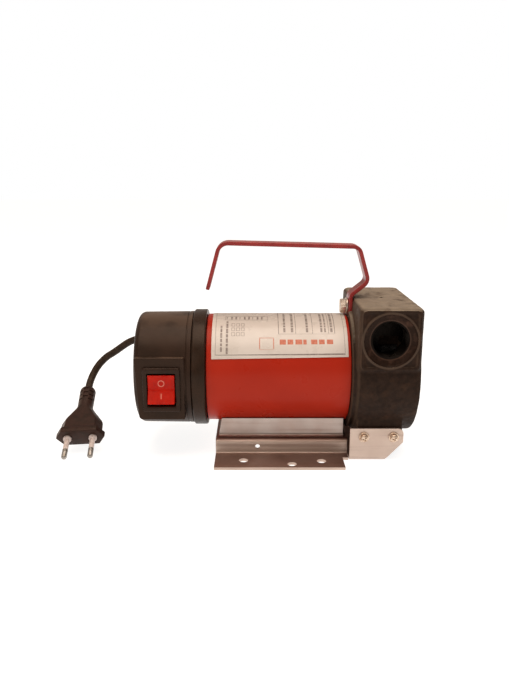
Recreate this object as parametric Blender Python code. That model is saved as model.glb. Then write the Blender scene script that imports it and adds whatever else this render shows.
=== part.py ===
"""Electric fluid transfer pump: a brushed motor drives a sliding-vane pump head, on a folded sheet base.

Lengths are in millimetres and turned into metres where a mesh is made. The floor is Z = 0, the motor axis
runs along X at AXIS_Z, the pump head is at +X and the switch cover at -X, and the front is -Y.
"""

import math

import bmesh
import bpy
from mathutils import Matrix, Vector

MM = 0.001
FINE, MEDIUM, COARSE = 40, 24, 12  # facets round a circle
TOOL_TURN = 0.31  # share of a facet by which a joining or cutting tool is turned: edges never coincide

# ---- motor body
AXIS_Z = 59.5
TUBE_RADIUS, TUBE_WALL = 40.0, 2.5
TUBE_LEFT, TUBE_RIGHT = -49.6, 52.7
RIM_RADIUS, RIM_LEFT, RIM_RIGHT = 43.4, -59.7, -49.9
THROUGH_BOLT_CIRCLE, THROUGH_BOLT_RADIUS = 33.3, 2.5
LABEL_LEFT, LABEL_RIGHT = -45.7, 50.6
LABEL_FROM, LABEL_TO = 22.5, 148.5  # degrees up from the front

# ---- switch cover
COVER_LEFT, COVER_RIGHT = -100.8, -60.0
COVER_RADIUS, COVER_WALL = 42.0, 2.2
PANEL_FRONT, PANEL_BOTTOM, PANEL_TOP = -42.0, 31.7, 76.8
PANEL_LEFT, PANEL_RIGHT = -99.6, -64.5
SWITCH_X, SWITCH_Z = -80.5, 54.2
SWITCH_HOLE_WIDTH, SWITCH_HOLE_HEIGHT = 22.6, 29.2
BEZEL_WIDTH, BEZEL_HEIGHT, BEZEL_PROUD = 26.4, 32.0, 2.2
ROCKER_WIDTH, ROCKER_HALF_HEIGHT = 18.8, 10.2
ROCKER_PIVOT_Y, ROCKER_TILT = -40.5, 9.0
COVER_SCREWS = [(-16.0, AXIS_Z + 30.5), (16.0, AXIS_Z - 30.5)]

# ---- pump head
HEAD_RADIUS, HEAD_LEFT, HEAD_RIGHT = 47.1, 56.8, 100.3
BLOCK_LEFT, BLOCK_RIGHT, BLOCK_HALF_WIDTH = 55.8, 99.6, 48.5
BLOCK_BOTTOM, BLOCK_TOP = 68.5, 112.9
PORT_X, PORT_Z, PORT_RADIUS, PORT_FLOOR = 77.4, 90.5, 12.05, 20.0
FOOT_LEFT, FOOT_RIGHT, FOOT_HALF_WIDTH, FOOT_BOTTOM = 58.0, 91.0, 38.2, 12.0
CHAMBER_LEFT, CHAMBER_RIGHT, CHAMBER_RADIUS = 72.0, 94.5, 27.3
CAM_OUTER, CAM_INNER, CAM_DROP = 27.0, 22.0, 3.2
ROTOR_RADIUS, ROTOR_LEFT, ROTOR_RIGHT = 18.5, 72.6, 94.2
VANES, VANE_THICKNESS, VANE_FOOT, VANE_TIP = 5, 2.6, 9.3, 18.4
END_COVER_RADIUS, END_COVER_RIGHT, END_SCREW_CIRCLE = 40.7, 100.1, 34.5

# ---- shaft, armature and brushes
SHAFT_RADIUS, JOURNAL_RADIUS = 5.0, 4.0
FLAT_HEIGHT = 3.9
CORE_RADIUS, CORE_LEFT, CORE_RIGHT, CORE_SLOTS = 29.2, -22.0, 28.0, 8
COMMUTATOR_RADIUS, COMMUTATOR_LEFT, COMMUTATOR_RIGHT = 12.5, -44.0, -33.0
BRUSH_X, BRUSH_WIDTH, BRUSH_HEIGHT = -38.5, 7.8, 6.0
BRUSH_TIP, BRUSH_BACK, HOLDER_BACK = 12.8, 25.0, 31.2

# ---- base
SHEET = 2.0
BASE_LEFT, FEET_RIGHT, HAT_RIGHT = -43.8, 48.4, 52.5
FOOT_EDGE, WEB_OUTER, HAT_TOP = 57.0, 31.0, 12.5
TAB_LEFT, TAB_RIGHT, TAB_TOP, TAB_OUTER = 53.1, 91.3, 24.5, 40.5
BASE_SCREWS_X, BASE_SCREW_Z = (63.0, 84.3), 18.2
FOOT_HOLES = [(-23.2, 44.6), (11.2, 51.1), (32.5, 45.8)]
SADDLE_HALF_WIDTH, SADDLE_LEFT, SADDLE_RIGHT = 24.0, -41.9, 50.0

# ---- carrying handle
HANDLE_WIDTH, HANDLE_THICKNESS = 15.0, 2.8
HANDLE_CORNERS = [
    # x, z, bend radius
    (-49.6, 119.0, 0.0),
    (-40.4, 152.5, 8.0),
    (59.9, 149.9, 6.0),
    (67.4, 124.9, 6.0),
    (54.9, 114.8, 5.0),
    (54.9, 99.6, 0.0),
]
HANDLE_BOLT_Z = 106.1

# ---- cord and plug
CORD_RADIUS = 2.8
CORD_Y, CORD_Z = 27.0, 75.1
CORD_ROUTE = [
    (-86.5, 27.0, 75.1),
    (-94.5, 27.0, 75.1),
    (-101.8, 27.0, 75.1),
    (-107.0, 27.3, 74.5),
    (-112.0, 28.1, 72.9),
    (-116.6, 29.2, 70.5),
    (-120.8, 30.3, 67.6),
    (-125.0, 31.4, 64.5),
    (-129.3, 32.2, 61.5),
    (-133.7, 32.5, 58.7),
    (-137.7, 32.0, 55.2),
    (-141.1, 30.6, 51.4),
    (-143.6, 28.3, 47.4),
    (-145.3, 25.0, 43.6),
    (-146.2, 21.1, 40.2),
    (-146.3, 16.7, 37.3),
    (-146.2, 14.6, 36.2),
    (-145.9, 10.2, 33.8),
]
PLUG_TAIL = Vector((-146.2, 14.6, 36.2))
PLUG_DIRECTION = Vector((3.5, -57.4, -31.1)).normalized()
PLUG_ROLL = 2.5  # degrees by which the plug is rolled about its length
PLUG_FACE, PIN_PITCH = 49.0, 18.6

AXES = {
    "X": (Vector((1, 0, 0)), Vector((0, 1, 0)), Vector((0, 0, 1))),
    "Y": (Vector((0, 1, 0)), Vector((1, 0, 0)), Vector((0, 0, 1))),
    "Z": (Vector((0, 0, 1)), Vector((1, 0, 0)), Vector((0, 1, 0))),
}
MOTOR_CENTRE = Vector((0, 0, AXIS_Z))


def clear_scene():
    for leftover in list(bpy.data.objects):
        bpy.data.objects.remove(leftover)


def look(name, colour, roughness, metallic=0.0):
    material = bpy.data.materials.new(name)
    material.use_nodes = True
    shader = material.node_tree.nodes["Principled BSDF"]
    shader.inputs["Base Color"].default_value = (*colour, 1.0)
    shader.inputs["Roughness"].default_value = roughness
    shader.inputs["Metallic"].default_value = metallic
    return material


def solid(name, points, faces, material, origin=MOTOR_CENTRE, frame=None):
    """A closed mesh from points in millimetres. Its object origin is at origin."""
    frame = frame or Matrix.Identity(4)
    shape = bmesh.new()
    corners = [shape.verts.new(((frame @ Vector(point)) - origin) * MM) for point in points]
    for face in faces:
        shape.faces.new([corners[index] for index in face])
    bmesh.ops.recalc_face_normals(shape, faces=shape.faces)
    mesh = bpy.data.meshes.new(name)
    shape.to_mesh(mesh)
    shape.free()
    mesh.shade_smooth()
    mesh.set_sharp_from_angle(angle=math.radians(32))
    made = bpy.data.objects.new(name, mesh)
    made.location = Vector(origin) * MM
    if material:
        mesh.materials.append(material)
    bpy.context.scene.collection.objects.link(made)
    return made


def turned(name, outline, material=None, axis="X", centre=MOTOR_CENTRE, steps=MEDIUM, **placing):
    """A solid turned about an axis through centre. The outline holds (along, radius) pairs."""
    along_axis, across, up = AXES[axis]
    phase = 0 if material else TOOL_TURN
    points, rings = [], []
    for along, radius in outline:
        if radius == 0:
            rings.append([len(points)] * steps)
            points.append(centre + along_axis * along)
            continue
        rings.append(list(range(len(points), len(points) + steps)))
        for step in range(steps):
            angle = 2 * math.pi * (step + phase) / steps
            offset = across * math.cos(angle) + up * math.sin(angle)
            points.append(centre + along_axis * along + offset * radius)
    pairs = list(zip(rings, rings[1:]))
    if outline[0][1] > 0:
        pairs.append((rings[-1], rings[0]))
    faces = []
    for first, second in pairs:
        for step in range(steps):
            after = (step + 1) % steps
            corners = [first[step], first[after], second[after], second[step]]
            face = list(dict.fromkeys(corners))
            if len(face) > 2:
                faces.append(face)
    return solid(name, points, faces, material, **placing)


def rod(name, start, end, radius, material=None, **options):
    return turned(name, [(start, 0), (start, radius), (end, radius), (end, 0)], material, **options)


def tube(name, start, end, outer, inner, material=None, **options):
    outline = [(start, outer), (end, outer), (end, inner), (start, inner)]
    return turned(name, outline, material, **options)


def prism(name, outline, start, end, material=None, axis="X", **placing):
    """A straight solid along an axis. The outline holds the other two coordinates, in X, Y, Z order."""
    along_axis, across, up = AXES[axis]
    count = len(outline)
    points = [along_axis * level + across * a + up * b for level in (start, end) for a, b in outline]
    faces = [list(range(count)), list(range(count, 2 * count))]
    for index in range(count):
        after = (index + 1) % count
        faces.append([index, after, count + after, count + index])
    return solid(name, points, faces, material, **placing)


def box(name, low, high, material=None, **placing):
    outline = [(low[1], low[2]), (high[1], low[2]), (high[1], high[2]), (low[1], high[2])]
    return prism(name, outline, low[0], high[0], material, **placing)


def loft(name, sections, material, **placing):
    """A solid through closed sections of equal point counts, capped at both ends."""
    count = len(sections[0])
    points = [point for section in sections for point in section]
    last = len(points) - count
    faces = [list(range(count)), list(range(last, last + count))]
    for start in range(0, last, count):
        for index in range(count):
            after = (index + 1) % count
            faces.append([start + index, start + after, start + count + after, start + count + index])
    return solid(name, points, faces, material, **placing)


def combine(target, tool, operation):
    modifier = target.modifiers.new(f"{operation.lower()} {tool.name}", "BOOLEAN")
    modifier.operation = operation
    modifier.solver = "EXACT"
    modifier.object = tool
    tool.hide_render = True
    tool.display_type = "WIRE"


def cut(target, *tools):
    for tool in tools:
        combine(target, tool, "DIFFERENCE")


def join(target, *pieces):
    for piece in pieces:
        combine(target, piece, "UNION")


def soften(target, width, segments=1):
    modifier = target.modifiers.new("edge rounding", "BEVEL")
    modifier.width = width * MM
    modifier.segments = segments
    modifier.limit_method = "ANGLE"
    modifier.angle_limit = math.radians(50)


def arc(centre, radius, first, last, steps):
    """Points from angle first to angle last, in degrees."""
    points = []
    for step in range(steps + 1):
        angle = math.radians(first + (last - first) * step / steps)
        points.append((centre[0] + radius * math.cos(angle), centre[1] + radius * math.sin(angle)))
    return points


def slotted_outline(radius, slots, slot_width, slot_floor, arc_steps):
    """A disc's outline with radial slots, the first pointing up."""
    outline = []
    edge = math.degrees(math.asin(slot_width / 2 / radius))
    for slot in range(slots):
        middle = 90 + 360 * slot / slots
        direction = Vector((math.cos(math.radians(middle)), math.sin(math.radians(middle))))
        side = Vector((-direction.y, direction.x)) * slot_width / 2
        for offset in (-side, side):
            corner = direction * slot_floor + offset
            outline.append((corner.x, corner.y + AXIS_Z))
        outline.extend(arc((0, AXIS_Z), radius, middle + edge, middle + 360 / slots - edge, arc_steps))
    return outline


def bent_line(corners, steps=4):
    """The corners' polyline with each bend rounded to its radius."""
    line = []
    for index, (x, z, radius) in enumerate(corners):
        here = Vector((x, z))
        if radius == 0:
            line.append(here)
            continue
        before = (Vector(corners[index - 1][:2]) - here).normalized()
        after = (Vector(corners[index + 1][:2]) - here).normalized()
        half = before.angle(after) / 2
        middle = here + (before + after).normalized() * radius / math.sin(half)
        start = here + before * radius / math.tan(half) - middle
        turn = (here + after * radius / math.tan(half) - middle).angle_signed(start)
        for step in range(steps + 1):
            line.append(middle + Matrix.Rotation(turn * step / steps, 2) @ start)
    return line


def strip_outline(line, thickness):
    """The closed outline of a strip of even thickness along a line."""
    sides = []
    for index, point in enumerate(line):
        direction = line[min(index + 1, len(line) - 1)] - line[max(index - 1, 0)]
        normal = Vector((-direction.y, direction.x)).normalized() * thickness / 2
        sides.append((point + normal, point - normal))
    return [tuple(side[0]) for side in sides] + [tuple(side[1]) for side in reversed(sides)]


clear_scene()

RED_PAINT = look("red_paint", (0.40, 0.03, 0.015), 0.3)
HANDLE_RED = look("handle_red", (0.42, 0.02, 0.02), 0.4)
CAST_BLACK = look("painted_casting", (0.05, 0.035, 0.028), 0.6)
BLACK_PLASTIC = look("black_plastic", (0.045, 0.028, 0.02), 0.45)
BRACKET_BLACK = look("bracket_paint", (0.04, 0.03, 0.025), 0.5)
ZINC = look("zinc_plate", (0.55, 0.5, 0.45), 0.45, 0.9)
SCREW_STEEL = look("screw_steel", (0.6, 0.52, 0.42), 0.35, 1.0)
BRIGHT_STEEL = look("bright_steel", (0.6, 0.6, 0.6), 0.3, 1.0)
COPPER = look("copper", (0.7, 0.3, 0.15), 0.35, 1.0)
CARBON = look("carbon", (0.03, 0.03, 0.03), 0.6)
FERRITE = look("ferrite", (0.06, 0.06, 0.065), 0.7)
BRASS = look("brass", (0.7, 0.5, 0.2), 0.35, 1.0)
RUBBER = look("rubber", (0.02, 0.02, 0.02), 0.7)
LABEL_FOIL = look("label_foil", (0.75, 0.7, 0.62), 0.4)
SWITCH_RED = look("switch_red", (0.6, 0.03, 0.01), 0.3)
PIN_METAL = look("pin_metal", (0.65, 0.55, 0.42), 0.3, 1.0)
VANE_RESIN = look("vane_resin", (0.2, 0.12, 0.06), 0.5)


# ---- base plate: a hat section with feet, running on as a floor with two upright tabs
base_plate = prism(
    "base_plate",
    [
        (-FOOT_EDGE, 0),
        (-WEB_OUTER + SHEET, 0),
        (-WEB_OUTER + SHEET, HAT_TOP - SHEET),
        (WEB_OUTER - SHEET, HAT_TOP - SHEET),
        (WEB_OUTER - SHEET, 0),
        (FOOT_EDGE, 0),
        (FOOT_EDGE, SHEET),
        (WEB_OUTER, SHEET),
        (WEB_OUTER, HAT_TOP),
        (-WEB_OUTER, HAT_TOP),
        (-WEB_OUTER, SHEET),
        (-FOOT_EDGE, SHEET),
    ],
    BASE_LEFT,
    HAT_RIGHT,
    ZINC,
)
for side, sign in (("front", -1), ("back", 1)):
    trim_y = sorted((sign * (TAB_OUTER - 1), sign * (FOOT_EDGE + 1)))
    cut(base_plate, box(f"foot_trim_{side}", (FEET_RIGHT, trim_y[0], -1), (HAT_RIGHT + 1, trim_y[1], 3)))
join(base_plate, box("tab_floor", (HAT_RIGHT - 2, -TAB_OUTER + 1, 0), (79, TAB_OUTER - 1, SHEET)))
tab_outline = [
    (TAB_LEFT, 0),
    (78.0, 0),
    (TAB_RIGHT, 14.2),
    *arc((TAB_RIGHT - 4, TAB_TOP - 4), 4, 0, 90, 3),
    (TAB_LEFT, TAB_TOP),
]
for side, sign in (("front", -1), ("back", 1)):
    levels = sorted((sign * TAB_OUTER, sign * (TAB_OUTER - SHEET)))
    join(base_plate, prism(f"tab_{side}", tab_outline, *levels, axis="Y"))
for index, (hole_x, hole_y) in enumerate(FOOT_HOLES):
    for side, sign in (("front", -1), ("back", 1)):
        hole_name = f"foot_hole_{side}_{index + 1}"
        centre = Vector((hole_x, sign * hole_y, 0))
        cut(base_plate, rod(hole_name, -1, 3, 3.3, axis="Z", centre=centre, steps=COARSE))
cut(base_plate, rod("web_hole", -33, 33, 1.75, axis="Y", centre=Vector((-13.1, 0, 7)), steps=10))
for index, screw_x in enumerate(BASE_SCREWS_X):
    centre = Vector((screw_x, 0, BASE_SCREW_Z))
    cut(base_plate, rod(f"tab_hole_{index + 1}", -44, 44, 2.4, axis="Y", centre=centre, steps=12))

# ---- saddle: the U bracket welded between the hat's top and the motor tube
motor_saddle = prism(
    "motor_saddle",
    [
        (-SADDLE_HALF_WIDTH, 12.8),
        (SADDLE_HALF_WIDTH, 12.8),
        (SADDLE_HALF_WIDTH, 27.1),
        (SADDLE_HALF_WIDTH - SHEET, 25.8),
        (SADDLE_HALF_WIDTH - SHEET, 14.8),
        (-SADDLE_HALF_WIDTH + SHEET, 14.8),
        (-SADDLE_HALF_WIDTH + SHEET, 25.8),
        (-SADDLE_HALF_WIDTH, 27.1),
    ],
    SADDLE_LEFT,
    SADDLE_RIGHT,
    ZINC,
)
slanted_end = [(-46, 12), (SADDLE_LEFT - 0.1, 12), (SADDLE_LEFT + 2.9, 28), (-46, 28)]
cut(motor_saddle, prism("saddle_end", slanted_end, -26, 26, axis="Y"))

# ---- tab screws and washers
screw_number = 0
for sign in (-1, 1):
    for screw_x in BASE_SCREWS_X:
        screw_number += 1
        centre = Vector((screw_x, 0, BASE_SCREW_Z))
        place = {"axis": "Y", "centre": centre, "steps": 12}
        profile = [(44.4, 0), (44.4, 1.8), (43.6, 2.6), (42.1, 2.9), (42.1, 2.1), (30, 2.1), (30, 0)]
        outline = [(sign * along, radius) for along, radius in profile]
        turned(f"base_screw_{screw_number}", outline, SCREW_STEEL, **place)
        levels = sorted((sign * 40.8, sign * 41.8))
        tube(f"base_washer_{screw_number}", *levels, 3.7, 2.4, SCREW_STEEL, **place)

# ---- pump head: one casting with the port block on top and the mounting foot below
pump_head = turned(
    "pump_head",
    [
        (49.0, 0),
        (49.0, 37.2),
        (53.0, 37.2),
        (53.0, 45.0),
        (HEAD_LEFT, 45.0),
        (HEAD_LEFT, HEAD_RADIUS),
        (HEAD_RIGHT - 1.5, HEAD_RADIUS),
        (HEAD_RIGHT, HEAD_RADIUS - 1.5),
        (HEAD_RIGHT, 0),
    ],
    CAST_BLACK,
    steps=FINE,
)
port_block = box(
    "port_block",
    (BLOCK_LEFT, -BLOCK_HALF_WIDTH, BLOCK_BOTTOM),
    (BLOCK_RIGHT, BLOCK_HALF_WIDTH, BLOCK_TOP),
)
soften(port_block, 2.5, 2)
head_foot = box(
    "head_foot",
    (FOOT_LEFT, -FOOT_HALF_WIDTH, FOOT_BOTTOM),
    (FOOT_RIGHT, FOOT_HALF_WIDTH, 32.0),
)
join(pump_head, port_block, head_foot)
cut(
    pump_head,
    box("handle_notch", (52, -9, 98.9), (56.7, 9, BLOCK_TOP + 1)),
    rod("bearing_seat", 48, 57.6, 13.3),
    rod("shaft_bore", 50, 75, 5.6, steps=20),
    rod("seal_pocket", 64.5, 73, 11.3, steps=24),
    rod("chamber", CHAMBER_LEFT, 96, CHAMBER_RADIUS, steps=28),
    rod("cover_recess", CHAMBER_RIGHT, 101, 41.0, steps=28),
    rod("handle_bolt_hole", 55, 72, 3.3, centre=Vector((0, 0, HANDLE_BOLT_Z)), steps=12),
)
for side, sign in (("front", -1), ("back", 1)):
    centre = Vector((PORT_X, 0, PORT_Z))
    levels = sorted((sign * PORT_FLOOR, sign * 50))
    cut(pump_head, rod(f"port_{side}", *levels, PORT_RADIUS, axis="Y", centre=centre, steps=MEDIUM))
    duct_y = sorted((sign * 17.0, sign * 29.5))
    cut(pump_head, box(f"duct_{side}", (74, duct_y[0], 72), (88, duct_y[1], 88)))
    for index, screw_x in enumerate(BASE_SCREWS_X):
        centre = Vector((screw_x, 0, BASE_SCREW_Z))
        levels = sorted((sign * 28, sign * 40))
        hole_name = f"foot_thread_{side}_{index + 1}"
        cut(pump_head, rod(hole_name, *levels, 2.4, axis="Y", centre=centre, steps=12))
    centre = Vector((0, 0, AXIS_Z + sign * THROUGH_BOLT_CIRCLE))
    cut(pump_head, rod(f"through_bolt_thread_{side}", 48, 63, 2.8, centre=centre, steps=12))

# ---- end cover, its ring seal and its four countersunk screws
pump_cover = turned(
    "pump_cover",
    [
        (94.8, 0),
        (94.8, 28.9),
        (96.6, 28.9),
        (96.6, 31.1),
        (94.8, 31.1),
        (94.8, END_COVER_RADIUS),
        (END_COVER_RIGHT - 0.5, END_COVER_RADIUS),
        (END_COVER_RIGHT, END_COVER_RADIUS - 0.5),
        (END_COVER_RIGHT, 0),
    ],
    CAST_BLACK,
    steps=28,
)
for index in range(4):
    angle = math.radians(90 * index)
    across = Vector((0, math.cos(angle), math.sin(angle))) * END_SCREW_CIRCLE
    place = {"centre": MOTOR_CENTRE + across, "steps": 12}
    sink = [(94, 0), (94, 2.2), (97.8, 2.2), (100.4, 4.5), (100.4, 0)]
    cut(pump_cover, turned(f"cover_sink_{index + 1}", sink, **place))
    cut(pump_head, rod(f"cover_thread_{index + 1}", 84, 95, 2.2, **place))
    shank = [(85, 0), (85, 1.9), (97.9, 1.9), (99.9, 3.8), (99.9, 0)]
    turned(f"pump_cover_screw_{index + 1}", shank, SCREW_STEEL, **place)
ring_section = arc((95.7, 30.0), 0.8, 0, 300, 5)
turned("cover_seal_ring", ring_section, RUBBER, steps=MEDIUM)

# ---- pump works: eccentric cam ring, slotted rotor and vanes
cam_ring = tube("cam_ring", 72.3, CHAMBER_RIGHT, CAM_OUTER, 8, BRIGHT_STEEL, steps=28)
cam_centre = MOTOR_CENTRE - Vector((0, 0, CAM_DROP))
cut(cam_ring, rod("cam_bore", 71, 96, CAM_INNER, centre=cam_centre, steps=28))
for side, sign in (("front", -1), ("back", 1)):
    window_y = sorted((sign * 14.0, sign * 28.0))
    cut(cam_ring, box(f"cam_window_{side}", (77, window_y[0], 68), (87, window_y[1], 80)))

slot_width = VANE_THICKNESS + 0.6
rotor_outline = slotted_outline(ROTOR_RADIUS, VANES, slot_width, VANE_FOOT - 0.3, 4)
pump_rotor = prism("pump_rotor", rotor_outline, ROTOR_LEFT, ROTOR_RIGHT, BRIGHT_STEEL)
flat_bore = [(side_y, side_z + AXIS_Z) for side_y, side_z in arc((0, 0), 5.3, 128, 412, 14)]
cut(pump_rotor, prism("rotor_bore", flat_bore, ROTOR_LEFT - 1, ROTOR_RIGHT + 1))
for index in range(VANES):
    turn = Matrix.Translation(MOTOR_CENTRE) @ Matrix.Rotation(2 * math.pi * index / VANES, 4, "X")
    half = VANE_THICKNESS / 2
    low, high = (ROTOR_LEFT, -half, VANE_FOOT), (ROTOR_RIGHT, half, VANE_TIP)
    box(f"vane_{index + 1}", low, high, VANE_RESIN, frame=turn)
turned("shaft_seal", [(64.8, 11), (71.6, 11), (71.6, 8), (68, 5.3), (64.8, 5.3)], RUBBER, steps=24)

# ---- shaft with its bearings
motor_shaft = turned(
    "motor_shaft",
    [
        (-57.6, 0),
        (-57.6, JOURNAL_RADIUS),
        (-50.2, JOURNAL_RADIUS),
        (-50.2, SHAFT_RADIUS),
        (ROTOR_RIGHT, SHAFT_RADIUS),
        (ROTOR_RIGHT, 0),
    ],
    BRIGHT_STEEL,
    steps=20,
)
flat_low = (ROTOR_LEFT - 0.8, -6, AXIS_Z + FLAT_HEIGHT)
cut(motor_shaft, box("shaft_flat", flat_low, (96, 6, AXIS_Z + 6)))
tube("rear_bearing", -57.6, -50.6, 11.0, JOURNAL_RADIUS + 0.3, BRIGHT_STEEL, steps=24)
tube("front_bearing", 49.3, 57.3, 13.0, SHAFT_RADIUS + 0.3, BRIGHT_STEEL, steps=24)

# ---- armature: slotted iron core, copper winding, commutator
core_outline = slotted_outline(CORE_RADIUS, CORE_SLOTS, 7.0, 14.0, 2)
armature_core = prism("armature_core", core_outline, CORE_LEFT, CORE_RIGHT, BRIGHT_STEEL)
cut(armature_core, rod("core_bore", -24, 30, SHAFT_RADIUS + 0.3, steps=20))
armature_winding = tube("armature_winding", -30.5, -22.4, 27.0, 13.0, COPPER, steps=24)
join(armature_winding, tube("front_end_turns", 28.4, 36.5, 27.0, 13.0, steps=24))
for index in range(CORE_SLOTS):
    angle = 2 * math.pi * index / CORE_SLOTS
    turn = Matrix.Translation(MOTOR_CENTRE) @ Matrix.Rotation(angle, 4, "X")
    slot_bar = box(f"slot_winding_{index + 1}", (-25, -3.1, 14.8), (31, 3.1, 26.5), frame=turn)
    join(armature_winding, slot_bar)
tube(
    "commutator",
    COMMUTATOR_LEFT,
    COMMUTATOR_RIGHT,
    COMMUTATOR_RADIUS,
    SHAFT_RADIUS + 0.3,
    COPPER,
    steps=24,
)

# ---- brush gear on its insulating plate
brush_plate = tube("brush_plate", -45.9, -44.3, 37.1, 15.0, VANE_RESIN, steps=28)
for name, sign in (("front", -1), ("back", 1)):
    centre = Vector((0, 0, AXIS_Z + sign * THROUGH_BOLT_CIRCLE))
    cut(brush_plate, rod(f"plate_hole_{name}", -47, -43, 3.0, centre=centre, steps=12))

    holder_y = sorted((sign * 14.2, sign * (HOLDER_BACK + 1.3)))
    holder_low = (-44.0, holder_y[0], AXIS_Z - 4.6)
    holder_high = (-33.0, holder_y[1], AXIS_Z + 4.6)
    brush_holder = box(f"brush_holder_{name}", holder_low, holder_high, BRASS)
    bore_y = sorted((sign * 13.0, sign * HOLDER_BACK))
    bore_low = (BRUSH_X - 4.2, bore_y[0], AXIS_Z - 3.3)
    bore_high = (BRUSH_X + 4.2, bore_y[1], AXIS_Z + 3.3)
    cut(brush_holder, box(f"brush_bore_{name}", bore_low, bore_high))

    brush_y = sorted((sign * BRUSH_TIP, sign * BRUSH_BACK))
    brush_low = (BRUSH_X - BRUSH_WIDTH / 2, brush_y[0], AXIS_Z - BRUSH_HEIGHT / 2)
    brush_high = (BRUSH_X + BRUSH_WIDTH / 2, brush_y[1], AXIS_Z + BRUSH_HEIGHT / 2)
    box(f"brush_{name}", brush_low, brush_high, CARBON)

    spring_curve = bpy.data.curves.new(f"brush_spring_{name}", "CURVE")
    spring_curve.dimensions = "3D"
    spring_curve.bevel_depth = 0.35 * MM
    spring_curve.bevel_resolution = 0
    spring_curve.use_fill_caps = True
    coil = spring_curve.splines.new("POLY")
    coil_turns, coil_points = 4, 28
    coil.points.add(coil_points)
    for step in range(coil_points + 1):
        angle = 2 * math.pi * coil_turns * step / coil_points
        reach = BRUSH_BACK + 0.7 + (HOLDER_BACK - BRUSH_BACK - 1.4) * step / coil_points
        point = Vector((BRUSH_X + 2.3 * math.cos(angle), sign * reach, AXIS_Z + 2.3 * math.sin(angle)))
        coil.points[step].co = (*(point * MM), 1.0)
    spring_curve.materials.append(BRIGHT_STEEL)
    spring = bpy.data.objects.new(f"brush_spring_{name}", spring_curve)
    bpy.context.scene.collection.objects.link(spring)

# ---- field magnets, motor tube, label
for name, middle in (("front", 180), ("back", 0)):
    outer_arc = arc((0, AXIS_Z), 37.2, middle - 62, middle + 62, 9)
    inner_arc = arc((0, AXIS_Z), 30.0, middle + 62, middle - 62, 9)
    prism(f"field_magnet_{name}", outer_arc + inner_arc, -24, 30, FERRITE)
tube(
    "motor_housing", TUBE_LEFT, TUBE_RIGHT, TUBE_RADIUS, TUBE_RADIUS - TUBE_WALL, RED_PAINT, steps=FINE
)
label_steps = 14
label_outer = arc((0, AXIS_Z), TUBE_RADIUS + 0.45, 180 - LABEL_FROM, 180 - LABEL_TO, label_steps)
label_inner = arc((0, AXIS_Z), TUBE_RADIUS + 0.2, 180 - LABEL_TO, 180 - LABEL_FROM, label_steps)
prism("rating_label", label_outer + label_inner, LABEL_LEFT, LABEL_RIGHT, LABEL_FOIL)

# ---- rear bracket and the two long bolts that clamp the motor together
end_bracket = turned(
    "end_bracket",
    [
        (RIM_LEFT, 5.0),
        (RIM_LEFT, RIM_RADIUS - 0.8),
        (RIM_LEFT + 0.8, RIM_RADIUS),
        (RIM_RIGHT - 0.8, RIM_RADIUS),
        (RIM_RIGHT, RIM_RADIUS - 0.8),
        (RIM_RIGHT, 37.2),
        (-46.2, 37.2),
        (-46.2, 34.5),
        (-54.5, 34.5),
        (-54.5, 14.5),
        (-49.8, 14.5),
        (-49.8, 11.3),
        (-57.9, 11.3),
        (-57.9, 5.0),
    ],
    BRACKET_BLACK,
    steps=FINE,
)
for name, sign in (("top", 1), ("bottom", -1)):
    centre = Vector((0, 0, AXIS_Z + sign * THROUGH_BOLT_CIRCLE))
    cut(end_bracket, rod(f"bracket_hole_{name}", -61, -45, 2.8, centre=centre, steps=12))
    bolt_outline = [
        (-63.5, 0),
        (-63.5, 4.5),
        (-60.0, 4.5),
        (-60.0, THROUGH_BOLT_RADIUS),
        (62.0, THROUGH_BOLT_RADIUS),
        (62.0, 0),
    ]
    turned(f"through_bolt_{name}", bolt_outline, SCREW_STEEL, centre=centre, steps=12)

# ---- switch cover: a plastic cup with the flat switch panel, screw bosses and cord hole
rear_cover = turned(
    "rear_cover",
    [
        (COVER_LEFT, 0),
        (COVER_LEFT, 37.2),
        (COVER_LEFT + 1.2, 40.0),
        (COVER_LEFT + 4.0, 41.3),
        (COVER_RIGHT, COVER_RADIUS),
        (COVER_RIGHT, COVER_RADIUS - COVER_WALL),
        (COVER_LEFT + 3.8, 39.0),
        (COVER_LEFT + 2.2, 37.9),
        (COVER_LEFT + 2.2, 0),
    ],
    BLACK_PLASTIC,
    steps=FINE,
)
panel_low = (PANEL_LEFT, PANEL_FRONT, PANEL_BOTTOM)
switch_panel = box("switch_panel", panel_low, (PANEL_RIGHT, -24, PANEL_TOP))
soften(switch_panel, 1.2, 2)
join(rear_cover, switch_panel)
panel_hollow_low = (PANEL_LEFT + 2.1, PANEL_FRONT + 2, PANEL_BOTTOM + 2)
cut(rear_cover, box("panel_hollow", panel_hollow_low, (PANEL_RIGHT - 2, -20, PANEL_TOP - 2)))
hole_low = (SWITCH_X - SWITCH_HOLE_WIDTH / 2, -44, SWITCH_Z - SWITCH_HOLE_HEIGHT / 2)
hole_high = (SWITCH_X + SWITCH_HOLE_WIDTH / 2, -38, SWITCH_Z + SWITCH_HOLE_HEIGHT / 2)
cut(rear_cover, box("switch_hole", hole_low, hole_high))
for index, (screw_y, screw_z) in enumerate(COVER_SCREWS):
    place = {"centre": Vector((0, screw_y, screw_z)), "steps": 12}
    join(rear_cover, rod(f"cover_boss_{index + 1}", -99.0, -60.3, 5.0, **place))
    bore = [(-102, 0), (-102, 4.2), (-96.5, 4.2), (-96.5, 2.3), (-59, 2.3), (-59, 0)]
    cut(rear_cover, turned(f"cover_boss_bore_{index + 1}", bore, **place))
    cut(end_bracket, rod(f"bracket_thread_{index + 1}", -61, -52, 2.3, **place))
    shank = [(-99.5, 0), (-99.5, 3.6), (-96.8, 3.9), (-96.8, 2.0), (-53.0, 2.0), (-53.0, 0)]
    turned(f"rear_cover_screw_{index + 1}", shank, SCREW_STEEL, **place)
cord_centre = Vector((0, CORD_Y, CORD_Z))
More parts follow.
